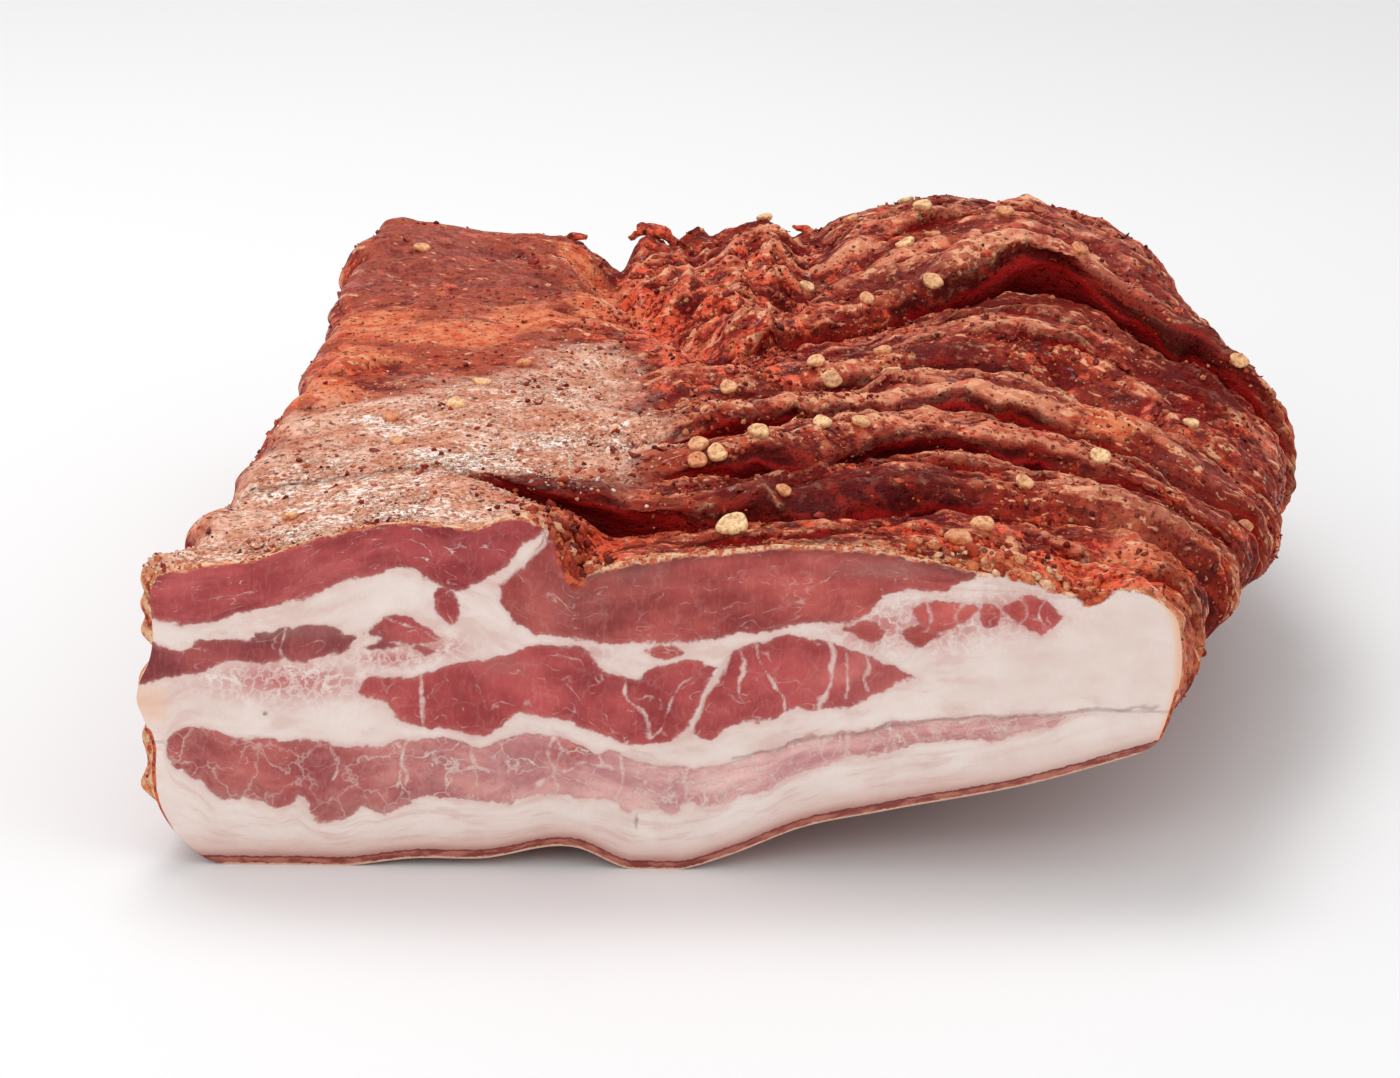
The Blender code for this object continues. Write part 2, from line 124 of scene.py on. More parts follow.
CREVICES = (((0.148, 0.140), (0.184, 0.131), (0.215, 0.124), (0.245, 0.120), (0.306, 0.125)),
            ((0.178, 0.151), (0.211, 0.160), (0.241, 0.169), (0.306, 0.176)))
CREVICE_DEPTHS = (0.006, 0.0045)
CREVICE_WIDTH = 0.007
CREVICE_STARTS = (-0.01, 0.02)
CRUMBLY_EDGES = (0.006, 0.004)
PLEATS_START = 0.009
PLEATS_SINK = 0.002
LUMPS = ((0.034, 0.0016), (0.015, 0.0010))
CRUMBS = (0.009, 0.0028)
LUMPS_START = (0.002, 0.014)
RIND_TURNS_UP = (-0.8, -0.3)

# What the fine skin adds. Each roll leans over the slit in front of it, and the slit is cut deeper.
SLIT_WANDER = ((0.016, 0.0016), (0.0062, 0.0008))
SLIT_CUT = (0.0066, 0.0056, 0.0050, 0.0054, 0.0078, 0.0046)
SLIT_HALF_WIDTHS = (0.0024, 0.0032)
SLIT_OPENS = (-0.004, 0.016)
LIP_LEANS = (0.0062, 0.0058, 0.0052, 0.0060, 0.0086, 0.0050)
# Short shallow slits in the rolls: places across and back, and depth.
SHORT_SLITS = (
    (((0.196, 0.030), (0.208, 0.024), (0.219, 0.018), (0.240, 0.016)), 0.0034),
    (((0.180, 0.020), (0.192, 0.018), (0.206, 0.013), (0.232, 0.007)), 0.0030),
    (((0.130, 0.069), (0.150, 0.071), (0.170, 0.062), (0.195, 0.058)), 0.0030),
    (((0.178, 0.060), (0.200, 0.062), (0.225, 0.058), (0.250, 0.050)), 0.0030),
    (((0.165, 0.094), (0.190, 0.097), (0.215, 0.090), (0.245, 0.070)), 0.0030),
    (((0.146, 0.110), (0.165, 0.122), (0.185, 0.126), (0.215, 0.120)), 0.0032),
    (((0.160, 0.142), (0.180, 0.158), (0.200, 0.166), (0.235, 0.150), (0.265, 0.118)), 0.0030),
    (((0.175, 0.172), (0.200, 0.187), (0.222, 0.184), (0.250, 0.158)), 0.0026),
    (((0.185, 0.252), (0.205, 0.262), (0.225, 0.262), (0.245, 0.245)), 0.0034),
    (((0.172, 0.262), (0.190, 0.275), (0.215, 0.284), (0.240, 0.280)), 0.0026),
    (((0.108, 0.018), (0.125, 0.012), (0.150, 0.013), (0.172, 0.020)), 0.0024),
)
# Where each slit gapes: places across and how far the gape reaches either way.
GAPES = (((0.088, 0.02), (0.152, 0.026)), ((0.15, 0.026), (0.198, 0.014)), ((0.15, 0.018), (0.192, 0.018)),
         ((0.18, 0.024),), ((0.212, 0.024), (0.252, 0.018)), ((0.2, 0.022),))
GAPE_WIDENS = 0.0009
LIP_BACK = 0.0046
LIP_WIDTH = 0.0032
LIP_RAGGED = (0.28, 0.0060)
LIP_RIDGED = (0.30, 0.0100, 0.0011)
LIP_RISE = 0.0016
LIP_RISES_BACK = (0.0075, 0.0042)
# How uneven the slits are and how far they open, and where the finish's masks start and end behind them.
SLIT_UNEVEN = 0.021
SLIT_OPENED = (0.1, 1.35)
SLIT_MASK_ENDS = (0.0026, 0.0052)
FRONT_MASK = (-0.006, -0.001, 0.0038, 0.0074)
CROWN_MASK = (0.16, 0.36, 0.72, 0.97)
# The short slits: wander, ends, half widths, and the lip's rise and lean as share, place and reach.
SHORT_WANDER = (0.013, 0.0016)
SHORT_UNEVEN = 0.017
SHORT_ENDS = (0.002, 0.012)
SHORT_HALF_WIDTHS = (0.0011, 0.0016)
SHORT_LIP = (0.35, 0.0036, 0.0020)
SHORT_LEAN = (0.9, 0.0026, 0.0018)
SHORT_INSIDE = 0.0014
SHORT_FRONT_MASK = (-0.003, 0, 0.0025, 0.006)
FLANK_PLEATS = (0.08, 0.60)
WRINKLES = ((0.044, 0.0070, 0.0022), (0.026, 0.0038, 0.0011), (0.015, 0.0022, 0.0004))
SIDE_WRINKLES = ((0.034, 0.0135, 0.0024), (0.020, 0.0062, 0.0012))
SIDE_WRINKLES_BEND = (0.026, 0.0075)
RIGHT_CREASES_START = (0.195, 0.225)
FINE_LUMPS = ((0.0070, 0.0010), (0.0032, 0.0006), (0.0016, 0.00035))
CRUMB_LUMPS = ((0.0130, 0.0030), (0.0060, 0.0016), (0.0028, 0.0005))
# The cut's left end isn't straight: its fat stands out and the red lean is drawn in. Heights and steps in.
LEFT_STEPS = ((0.0, 0.0), (0.010, 0.0), (0.020, 0.0008), (0.028, 0.0018), (0.033, 0.0004), (0.038, -0.0014),
              (0.042, -0.0008), (0.046, 0.0007), (0.052, 0.0014), (0.058, 0.0006), (0.064, 0.0))
LEFT_STEPS_FADE = 0.025
FINE_STARTS = (0.0, 0.0035)
PLEATED_FROM = (0.085, 0.125)
FOLDS_APART = 0.022
ROUGH_PATCHES = 0.031
GRAIN_SIZE = 0.004
# Knots and ropes of fat that stand up: place, distance back, half length, half width, turn, height.
KNOTS = ((0.229, 0.104, 0.0150, 0.0042, -0.62, 0.0030), (0.041, 0.121, 0.0090, 0.0055, 0.3, 0.0026),
         (0.036, 0.099, 0.0080, 0.0040, 0.1, 0.0020), (0.048, 0.150, 0.0100, 0.0036, 0.5, 0.0024),
         (0.060, 0.134, 0.0060, 0.0034, -0.4, 0.0014), (0.214, 0.012, 0.0060, 0.0100, 0.5, 0.0020),
         (0.222, 0.026, 0.0040, 0.0130, 0.5, 0.0022), (0.104, 0.262, 0.0050, 0.0200, 0.2, 0.0020),
         (0.186, 0.006, 0.0120, 0.0040, 0.0, 0.0016), (0.250, 0.155, 0.0120, 0.0050, -0.9, 0.0024),
         (0.197, 0.268, 0.0160, 0.0050, -0.2, 0.0022), (0.232, 0.275, 0.0080, 0.0060, 0.4, 0.0030))

# Grids: points round a section (top, right, bottom, left), rows back from the cut, and the cut's own.
RING_POINTS = (384, 108, 384, 108)
ROWS = 334
END_STEPS = 9
ROWS_AT_SLITS = 3.4
ROWS_AT_SLITS_REACH = 0.0052
ROWS_AT_CUT = 0.6
ROWS_AT_CUT_REACH = 0.03
PROBES = 700
FACES_DOWN = -0.5
CUT_POINTS = (460, 170)
COARSE = 3

# Chilli seeds on the upper side, in bunches: place across, distance back and size, in millimetres.
SEEDS_ON_TOP = (
    (164, 297, 4.2), (185, 279, 4.0), (201, 296, 4.2), (201, 267, 5.0), (202, 253, 3.8), (224, 259, 4.8),
    (194, 249, 4.6), (210, 233, 3.8), (238, 211, 4.6), (196, 207, 5.0), (177, 197, 4.0), (171, 235, 4.2),
    (176, 147, 4.6), (176, 133, 4.8), (158, 133, 4.6), (163, 125, 4.4), (134, 117, 4.4), (146, 88, 5.0),
    (154, 76, 4.6), (162, 76, 4.4), (136, 62, 5.0), (122, 57, 5.0), (120, 48, 4.6), (127, 51, 4.8),
    (141, 32, 3.6), (125, 18, 7.0), (177, 12, 6.5), (185, 24, 5.5), (190, 4, 4.6), (221, 76, 5.0),
    (246, 115, 4.0), (268, 157, 4.2), (198, 48, 4.4), (70, 105, 4.6), (53, 96, 3.8), (54, 78, 3.6),
    (87, 145, 3.8), (77, 131, 4.0), (28, 28, 3.4), (68, 259, 4.0))
# The others: how many on top, on the right flank, on the left flank and on the far end, and how they lie.
SEEDS_ON_SIDES = (0, 14, 8, 8)
SEED_ACROSS = (0.0047, 0.0036)
SEED_LONGER = 1.2
SEED_SPACING = 0.011
SEEDS_FROM_EDGE = 0.06
SEEDS_FROM_CUT = 0.012
SEEDS_UP_END = (0.3, 0.85)
SEEDS_ON_LEFT = 0.25
SEEDS_THICKEN = (0.35, 0.55)
SEEDS_OUT = 0.0005


def srgb(red, green, blue):
    """A colour as seen, from 0 to 255 for each part, as the linear colour that a shader takes."""
    parts = [part / 255 for part in (red, green, blue)]
    return tuple(p / 12.92 if p <= 0.04045 else ((p + 0.055) / 1.055)**2.4 for p in parts) + (1.0,)


# Form: curves, noise, and the sections of the meat.

def bend(t, step, ends, slopes):
    """A cubic that leaves one end and reaches the other with the given slopes."""
    rise = (2 * t**3 - 3 * t**2 + 1) * ends[0] + (3 * t**2 - 2 * t**3) * ends[1]
    return rise + step * ((t**3 - 2 * t**2 + t) * slopes[0] + (t**3 - t**2) * slopes[1])


def smooth_line(stations):
    """A smooth curve through (place, value) stations, level beyond its ends."""
    place, value = np.array(stations, float).T
    slope = np.gradient(value, place)

    def at(where):
        where = np.clip(where, place[0], place[-1])
        left = np.clip(np.searchsorted(place, where) - 1, 0, len(place) - 2)
        step = place[left + 1] - place[left]
        t = (where - place[left]) / step
        return bend(t, step, (value[left], value[left + 1]), (slope[left], slope[left + 1]))

    return at


def ease(where, start, end):
    """0 before start, 1 after end, smooth between them."""
    t = np.clip((where - start) / (end - start), 0.0, 1.0)
    return t * t * (3 - 2 * t)


def hump(off, reach):
    """1 in the middle, fading away on both sides."""
    return np.exp(-(off / reach)**2)


def flat(x, y, z=0):
    """Places from two ways, for unevenness that doesn't change along the third."""
    return np.stack([x, 0 * x + y, 0 * x + z], -1)


def lumps(points, size, number=0):
    """Soft seeded unevenness between -1 and 1, with lumps of the given size. Each number has its own."""
    cells = LUMP_CELLS
    grid = np.random.RandomState(SHAPE_SEED + number).uniform(-1, 1, (cells, cells, cells))
    low = np.floor(points / size).astype(int)
    t = points / size - low
    t = t * t * (3 - 2 * t)
    total = np.zeros(points.shape[:-1])
    for corner in np.ndindex(2, 2, 2):
        share = np.prod(np.where(corner, t, 1 - t), axis=-1)
        at = (low + corner) % cells
        total += share * grid[at[..., 0], at[..., 1], at[..., 2]]
    return total


def within(where, start, full, fades, ends, most=1.0):
    """0 outside the range, the most well inside it, smooth between them."""
    return most * ease(where, start, full) * (1 - ease(where, fades, ends))


def top_behind(across, back):
    """Height of the upper side without its rolls, from the table of heights."""
    lines = np.array([smooth_line(tuple(zip(TOP_COLUMNS, row)))(across) for row in TOP_HEIGHTS])
    rows = np.array(TOP_ROWS)
    slopes = np.gradient(lines, rows, axis=0)
    low = np.clip(np.searchsorted(rows, back) - 1, 0, len(rows) - 2)
    step = rows[low + 1] - rows[low]
    t = np.clip((back - rows[low]) / step, 0, 1)
    here = tuple(np.indices(low.shape))
    near, far = (low,) + here, (low + 1,) + here
    return bend(t, step, (lines[near], lines[far]), (slopes[near], slopes[far]))


def plain_rolls(x, back):
    """Rise of the rolls as the solid has them."""
    rise = np.zeros_like(x)
    lines = [smooth_line(slit)(x) for slit in SLITS] + [np.full_like(x, LAST_ROLL_ENDS)]
    for slit, near, far, height in zip(SLITS, lines, lines[1:], ROLL_RISE):
        share = np.clip((back - near) / np.maximum(far - near, LEAST_ROLL), 0, 1)
        swell = ease(share, 0, ROLL_CREST) * (1 - share**ROLL_SLOPES_AWAY)
        start, full = (slit[0][0] + step for step in ROLL_STARTS)
        rise += height * swell * ease(x, start, full)
    return rise


def crevices(x, back):
    """Depth of the crevices, which run from the far edge to the first of the big rolls."""
    depth = np.zeros_like(x)
    for places, deep in zip(CREVICES, CREVICE_DEPTHS):
        start, full = (places[0][0] + step for step in CREVICE_STARTS)
        run = ease(back, start, full)
        depth += deep * run * hump(x - smooth_line(places)(back), CREVICE_WIDTH)
    return depth


def top(across, x, back):
    """Height of the upper side."""
    height = top_behind(across, back)
    at_cut = smooth_line(CUT_TOP)(across * CUT_WIDTH) - top_behind(across, np.zeros_like(back))
    near_cut = hump(back, CUT_SHAPE_FADES)
    behind = 1 - hump(back, PLEATS_START)
    return height + at_cut * near_cut + behind * (plain_rolls(x, back) - crevices(x, back) - PLEATS_SINK)


def bottom(across, back):
    """Height of the rind: flat where it rests, raised towards the right at the cut."""
    at_cut = np.maximum(smooth_line(CUT_BOTTOM)(across * CUT_WIDTH), 0)
    hem = at_cut * (1 - ease(back, *RIGHT_HEM_LIES_DOWN))
    hollow = at_cut * hump(back, HOLLOW_DEPTH)
    return np.where(across > HEM_STARTS, hem, hollow)


def round_corner(along, radius):
    """Walk off the corner of a square onto its arc: distance in from the end, from the side, and turn."""
    turn = math.pi / 4 * (1 - np.clip(along / radius, 0, 1))
    return np.where(along < radius, radius * (1 - np.sin(turn)), along), radius * (1 - np.cos(turn)), turn


def by_side(side, values):
    """The value that belongs to each point's side."""
    return np.select([side == 0, side == 1, side == 2], values[:3], values[3])


def section(side, share, back):
    """Points round a section, the way out of it there, and how far across and up they are."""
    left = smooth_line(LEFT_EDGE)(back)
    right = smooth_line(RIGHT_EDGE)(back)
    width = right - left
    settle = ease(back, 0.0, CORNERS_SETTLE)
    radii = [a + (b - a) * settle for a, b in zip(CORNERS_AT_CUT, CORNERS_BEHIND)]
    length = by_side(side, [width, SIDE_HEIGHT, width, SIDE_HEIGHT])
    along = share * length
    near_in, near_off, near_turn = round_corner(along, by_side(side, radii))
    far_in, far_off, far_turn = round_corner(length - along, by_side(side, radii[1:] + radii[:1]))
    along = np.where(along < length / 2, near_in, length - far_in)
    off = near_off + far_off
    x_in = by_side(side, [along, width - off, width - along, off])
    up = by_side(side, [SIDE_HEIGHT - off, SIDE_HEIGHT - along, off, along]) / SIDE_HEIGHT
    across = x_in / width
    height = top(across, left + x_in, back)
    low = bottom(across, back)
    at_left, at_right = 1 - ease(across, 0.0, LEFT_FLANK_ENDS), ease(across, RIGHT_FLANK_STARTS, 1.0)
    bulge = FLANK_BULGE * np.sin(math.pi * up) * (at_right - LEFT_BULGE_SHARE * at_left)
    foot = LEFT_FOOT_IN * (1 - ease(up, 0.0, 0.5)) * at_left
    turn = math.pi / 2 * side - near_turn + far_turn
    points = np.stack([left + x_in + bulge + foot, back + 0 * x_in, low + up * (height - low)], -1)
    return points, np.stack([np.sin(turn), 0 * turn, np.cos(turn)], -1), across, up


def stepped(points, across):
    """Points with the steps in the cut's left end, which fade away behind it."""
    steps = smooth_line(LEFT_STEPS)(points[..., 2]) * np.exp(-points[..., 1] / LEFT_STEPS_FADE)
    points[..., 0] += steps * (1 - ease(across, 0.0, LEFT_FLANK_ENDS))
    return points


def crumbly(x, back, upward):
    """1 on the crumbly strip between the crevices, 0 off it."""
    left, right = (smooth_line(places)(back) for places in CREVICES)
    across = ease(x, left, left + CRUMBLY_EDGES[0]) * (1 - ease(x, right, right + CRUMBLY_EDGES[1]))
    start, full = (CREVICES[0][0][0] + step for step in CREVICE_STARTS)
    return across * ease(back, start, full) * (upward > 0.5)


def coarse_skin(side, share, back):
    """Points of the skin as the solid has them, with the solid's lumps and crumbs."""
    points, out, _, _ = section(side, share, back)
    upward = out[..., 2]
    broad = sum(high * lumps(points, size, number) for number, (size, high) in enumerate(LUMPS))
    crumbs = CRUMBS[1] * lumps(points, CRUMBS[0], -1)
    lift = broad * ease(upward, *RIND_TURNS_UP) + crumbs * crumbly(points[..., 0], points[..., 1], upward)
    return points + out * (lift * ease(back, *LUMPS_START))[..., None]


# The fine skin: rows crowd at the slits, and the rolls lean over them.

def slit_places(x):
    """Where the slits lie behind the cut at each place across, with a little wander."""
    return [smooth_line(slit)(x)
            + sum(reach * lumps(flat(x, 0.1 * number), size, 20) for size, reach in SLIT_WANDER)
            for number, slit in enumerate(SLITS)]


def slit_shares(x):
    """How far each slit has opened at each place across: 0 where it hasn't begun, 1 where it is full."""
    return [ease(x, *(slit[0][0] + step for step in SLIT_OPENS)) for slit in SLITS]


def fine_rows(side, share):
    """Distances back of the rows for each place round a section, closer together at the slits."""
    probe = np.linspace(0, LENGTH - END_RADIUS, PROBES)
    places = np.broadcast_arrays(side[None, :], share[None, :], probe[:, None])
    points, out, _, up = section(*places)
    x = points[..., 0]
    crowding = np.ones_like(x)
    for near, opened in zip(slit_places(x), slit_shares(x)):
        crowding += ROWS_AT_SLITS * opened * hump(probe[:, None] - near - LIP_BACK / 2, ROWS_AT_SLITS_REACH)
    on_flank = ease(up, *FLANK_PLEATS) * (out[..., 2] > FACES_DOWN)
    crowding = 1 + (crowding - 1) * on_flank + ROWS_AT_CUT * np.exp(-probe[:, None] / ROWS_AT_CUT_REACH)
    total = np.cumsum(crowding, axis=0)
    total = (total - total[0]) / (total[-1] - total[0])
    straight = ROWS - END_STEPS + 1
    wanted = np.linspace(0, 1, straight)
    rows = np.stack([np.interp(wanted, total[:, column], probe) for column in range(len(side))], 1)
    angle = np.linspace(0, math.pi / 2, END_STEPS)[1:]
    rounded = LENGTH - END_RADIUS + END_RADIUS * np.sin(angle)
    inset = np.concatenate([np.zeros(straight), END_RADIUS * (1 - np.cos(angle))])
    return np.vstack([rows, np.repeat(rounded[:, None], len(side), 1)]), inset


def pleats(x, back):
    """What the fine skin adds at the slits.

    It gives the rise, the lean towards the cut, the masks of the slits, of the rolls' fronts and of their
    crowns, and the count of the folds.
    """
    rise, lean, inside, front, crown = (np.zeros_like(x) for _ in range(5))
    lines = slit_places(x)
    fold = np.clip(back / np.maximum(lines[0], LEAST_ROLL), 0, 1)
    ends = lines[1:] + [np.full_like(x, LAST_ROLL_ENDS)]
    for number, (near, far, opened) in enumerate(zip(lines, ends, slit_shares(x))):
        behind = back - near
        uneven = lumps(flat(x, near), SLIT_UNEVEN, 30 + number)
        gape = sum(hump(x - place, reach) for place, reach in GAPES[number])
        opened = opened * np.clip(0.50 + 0.40 * uneven + 0.75 * gape, *SLIT_OPENED)
        before, after = SLIT_HALF_WIDTHS
        half = np.where(behind < 0, before + GAPE_WIDENS * np.clip(gape, 0, 1), after) * (0.8 + 0.4 * opened)
        rise -= SLIT_CUT[number] * hump(behind, half) * opened
        rise += LIP_RISE * opened * hump(behind - LIP_RISES_BACK[0], LIP_RISES_BACK[1])
        ragged = 1 + LIP_RAGGED[0] * lumps(flat(x, near + 0.3), LIP_RAGGED[1], 36)
        ridge, along, over = LIP_RIDGED
        ridged = 1 + ridge * lumps(flat(x / along, behind / over, number), 1.0, 37)
        lean += LIP_LEANS[number] * opened * ragged * ridged * hump(behind - LIP_BACK, LIP_WIDTH)
        start = -1.6 * half - 0.0004
        inside = np.maximum(inside, within(behind, start, -0.5 * half, *SLIT_MASK_ENDS, opened))
        front = np.maximum(front, within(behind, *FRONT_MASK, opened))
        phase = np.clip(behind / np.maximum(far - near, LEAST_ROLL), 0, 1)
        crown = np.maximum(crown, within(phase, *CROWN_MASK, opened))
        fold += phase
    for line, deep in SHORT_SLITS:
        start, end = line[0][0], line[-1][0]
        spots = flat(x, line[0][1])
        behind = back - smooth_line(line)(x) - SHORT_WANDER[1] * lumps(spots, SHORT_WANDER[0], 39)
        past, short = SHORT_ENDS
        opened = within(x, start - past, start + short, end - short, end + past)
        opened = opened * (0.7 + 0.4 * lumps(spots, SHORT_UNEVEN, 38))
        rise -= deep * opened * hump(behind, np.where(behind < 0, *SHORT_HALF_WIDTHS))
        for total, (part, off, reach) in ((rise, SHORT_LIP), (lean, SHORT_LEAN)):
            total += part * deep * opened * hump(behind - off, reach)
        inside = np.maximum(inside, 0.85 * opened * hump(behind, SHORT_INSIDE))
        front = np.maximum(front, within(behind, *SHORT_FRONT_MASK, 0.75 * opened))
    return (rise, lean) + tuple(np.clip(mask, 0, 1) for mask in (inside, front, crown)) + (fold,)


def creased(spots, long, wide, number):
    """Sharp creases around 0, of the given length and width."""
    return 2 * np.abs(lumps(spots / [long, wide, 1], 1.0, number)) - 0.55


def side_creases(along, height):
    """Bent creases that come and go along the flanks and the far end, in metres."""
    size, reach = SIDE_WRINKLES_BEND
    place = flat(along, height)
    bent = height + reach * lumps(place, size, 31) + 0.12 * along
    spots = flat(along + reach * lumps(place, size, 32), bent)
    creases = sum(high * creased(spots, long, wide, 34 + number)
                  for number, (long, wide, high) in enumerate(SIDE_WRINKLES))
    return creases * (0.25 + 0.95 * ease(lumps(place, 1.2 * size, 33), -0.45, 0.35))


def lay_skin():
    """The whole skin as one grid of rows and columns, with what the finishes need to know about it."""
    side = np.concatenate([np.full(count, number) for number, count in enumerate(RING_POINTS)])
    share = np.concatenate([np.arange(count) / count for count in RING_POINTS])
    back, inset = fine_rows(side, share)
    side, share, back = np.broadcast_arrays(side[None, :], share[None, :], back)
    base, out, across, up = section(side, share, back)
    x, upward = base[..., 0].copy(), out[..., 2]
    base = stepped(base, across)
    turned_up = ease(upward, *RIND_TURNS_UP)
    strip = crumbly(x, back, upward)
    broad = sum(high * lumps(base, size, number) for number, (size, high) in enumerate(LUMPS))
    lift = (broad * turned_up + CRUMBS[1] * lumps(base, CRUMBS[0], -1) * strip) * ease(back, *LUMPS_START)
    on_pleats = ease(up, *FLANK_PLEATS) * (upward > FACES_DOWN)
    rise, lean, inside, front, crown, fold = pleats(x, back)
    behind = 1 - hump(back, PLEATS_START)
    lift += rise * on_pleats * behind
    pleated = ease(x, *PLEATED_FROM) * on_pleats
    streaks = 0
    for number, (along, over, high) in enumerate(WRINKLES):
        streaks = streaks + high * creased(flat(x, FOLDS_APART * fold), along, over, 40 + number)
    roughness = 0.45 + 0.75 * ease(lumps(base, ROUGH_PATCHES, 45), -0.5, 0.5)
    detail = streaks * (0.16 + 0.84 * pleated) * roughness
    for number, (size, high) in enumerate(FINE_LUMPS):
        detail = detail + high * lumps(base, size, 50 + number) * (0.35 + 0.65 * pleated)
    for number, (size, high) in enumerate(CRUMB_LUMPS):
        ridged = 1 - 2 * np.abs(lumps(base, size, 60 + number))
        detail = detail + high * ridged * np.maximum(strip, 0.12 * pleated)
    for place, behind_cut, long, wide, turn, high in KNOTS:
        ahead, aside = x - place, back - behind_cut
        c, s = math.cos(turn), math.sin(turn)
        ahead, aside = c * ahead + s * aside, c * aside - s * ahead
        spot = np.exp(-((ahead / long)**2 + (aside / wide)**2)**2) * (upward > 0)
        detail = detail + high * spot * (1 + 0.35 * lumps(base, GRAIN_SIZE, 66))
    left_flank = (1 - ease(across, 0.0, 0.04)) * ease(up, 0.05, 0.25)
    detail = detail + side_creases(back, base[..., 2]) * left_flank
    right_flank = ease(across, 0.86, 0.97) * ease(up, 0.05, 0.25) * ease(back, *RIGHT_CREASES_START)
    detail = detail + 1.2 * side_creases(base[..., 2] + 0.7, back) * right_flank
    detail = detail * turned_up * ease(back, *FINE_STARTS)
    points = base + out * (lift + detail)[..., None]
    points[..., 1] -= lean * on_pleats * behind
    for axis, thins in ((0, 1.0), (2, END_THINS)):
        ways = points[..., axis]
        low, high = ways.min(1, keepdims=True), ways.max(1, keepdims=True)
        middle = (low + high) / 2
        points[..., axis] = middle + (ways - middle) * (1 - thins * inset[:, None] / (high - middle))
    uneven = smooth_line(BACK_EDGE)(across) * (BACK_EDGE_BELOW + (1 - BACK_EDGE_BELOW) * up)
    points[..., 1] += uneven * ease(back, BACK_EDGE_FROM, LENGTH)
    points[..., 2] = np.maximum(points[..., 2], 0)
    return points, {"inside": inside * on_pleats, "front": front * on_pleats, "crown": crown * on_pleats,
                    "fold": fold, "pleated": pleated, "x": x, "back": back, "up": up, "across": across,
                    "upward": upward}


def grid_normals(points, wrapped):
    """The way out at each point of a grid whose columns run round and whose rows run back."""
    if wrapped:
        along = np.roll(points, -1, 1) - np.roll(points, 1, 1)
    else:
        along = np.gradient(points, axis=1)
    back = np.gradient(points, axis=0)
    normals = np.cross(along, back)
    return normals / np.maximum(np.linalg.norm(normals, axis=-1, keepdims=True), 1e-12)


def neighbours_mean(values, reach):
    """The mean of each value's neighbourhood on the skin's grid."""
    rows = np.arange(len(values))
    values = sum(values[np.clip(rows + step, 0, len(rows) - 1)] for step in range(-reach, reach + 1))
    values = sum(np.roll(values, step, 1) for step in range(-reach, reach + 1))
    return values / (2 * reach + 1)**2


def standing_out(points, normals, reach):
    """How far each point stands out from its neighbourhood, in millimetres."""
    return ((points - neighbours_mean(points, reach)) * normals).sum(-1) / MM


def end_patch(edge):
    """Points of a patch stretched between the four sides of the last section, from top to bottom."""
    wide, high = RING_POINTS[:2]
    top_edge, right_edge = edge[:wide + 1], edge[wide:wide + high + 1]
    bottom_edge = edge[wide + high:2 * wide + high + 1][::-1]
    left_edge = np.concatenate([edge[2 * wide + high:], edge[:1]])[::-1]
    u = np.linspace(0, 1, wide + 1)[None, :, None]
    v = np.linspace(0, 1, high + 1)[:, None, None]
    across = (1 - v) * top_edge[None] + v * bottom_edge[None]
    down = (1 - u) * left_edge[:, None] + u * right_edge[:, None]
    corners = ((1 - v) * ((1 - u) * edge[0] + u * edge[wide])
               + v * ((1 - u) * left_edge[-1] + u * right_edge[-1]))
    patch = across + down - corners
    off_edge = (np.sin(math.pi * u) * np.sin(math.pi * v))[..., 0]
    lumpy = END_LUMPS[1] * lumps(patch, END_LUMPS[0])
    fine = sum(1.4 * high * lumps(patch, size, 70 + number)
               for number, (size, high) in enumerate(FINE_LUMPS))
    creases = side_creases(patch[..., 0] + 0.5, patch[..., 2])
    patch[..., 1] += (off_edge**0.5 * (END_BULGE + 1.6 * lumpy)
                      + ease(off_edge, 0, 0.25) * (fine + 1.1 * creases))
    return patch


# Marbling of the cut: lines in millimetres, as places across and heights.

TOP_EDGE = None
DEEP, ROSE, DUSKY, BRIGHT = srgb(166, 48, 56), srgb(166, 64, 58), srgb(144, 54, 58), srgb(176, 64, 66)
PALE, PALEST = srgb(184, 98, 92), srgb(238, 206, 198)
# Where the lean is of another tint: place, height, reaches, strength, tint.
TINTS = ((22, 66, 28, 7, 0.75, (188, 92, 92)), (156, 46, 10, 5, 0.9, (206, 120, 112)),
         (99, 64, 11, 9, 0.7, (146, 60, 54)), (150, 68, 26, 8, 0.8, (192, 86, 76)),
         (20, 66, 8, 5, 0.5, (196, 66, 64)), (68, 74, 9, 4, 0.4, (150, 56, 66)),
         (92, 27, 6, 4, 0.8, (186, 78, 76)), (82, 36, 10, 6, 0.5, (190, 74, 72)),
         (14, 24, 12, 6, 0.7, (172, 86, 80)), (124, 47, 9, 7, 0.4, (188, 76, 76)),
         (170, 32, 24, 5, 0.8, (216, 166, 158)), (173, 61, 8, 4, 0.8, (206, 92, 84)),
         (190, 61, 9, 6, 0.8, (202, 84, 74)), (63, 60, 5, 5, 0.8, (168, 40, 48)))
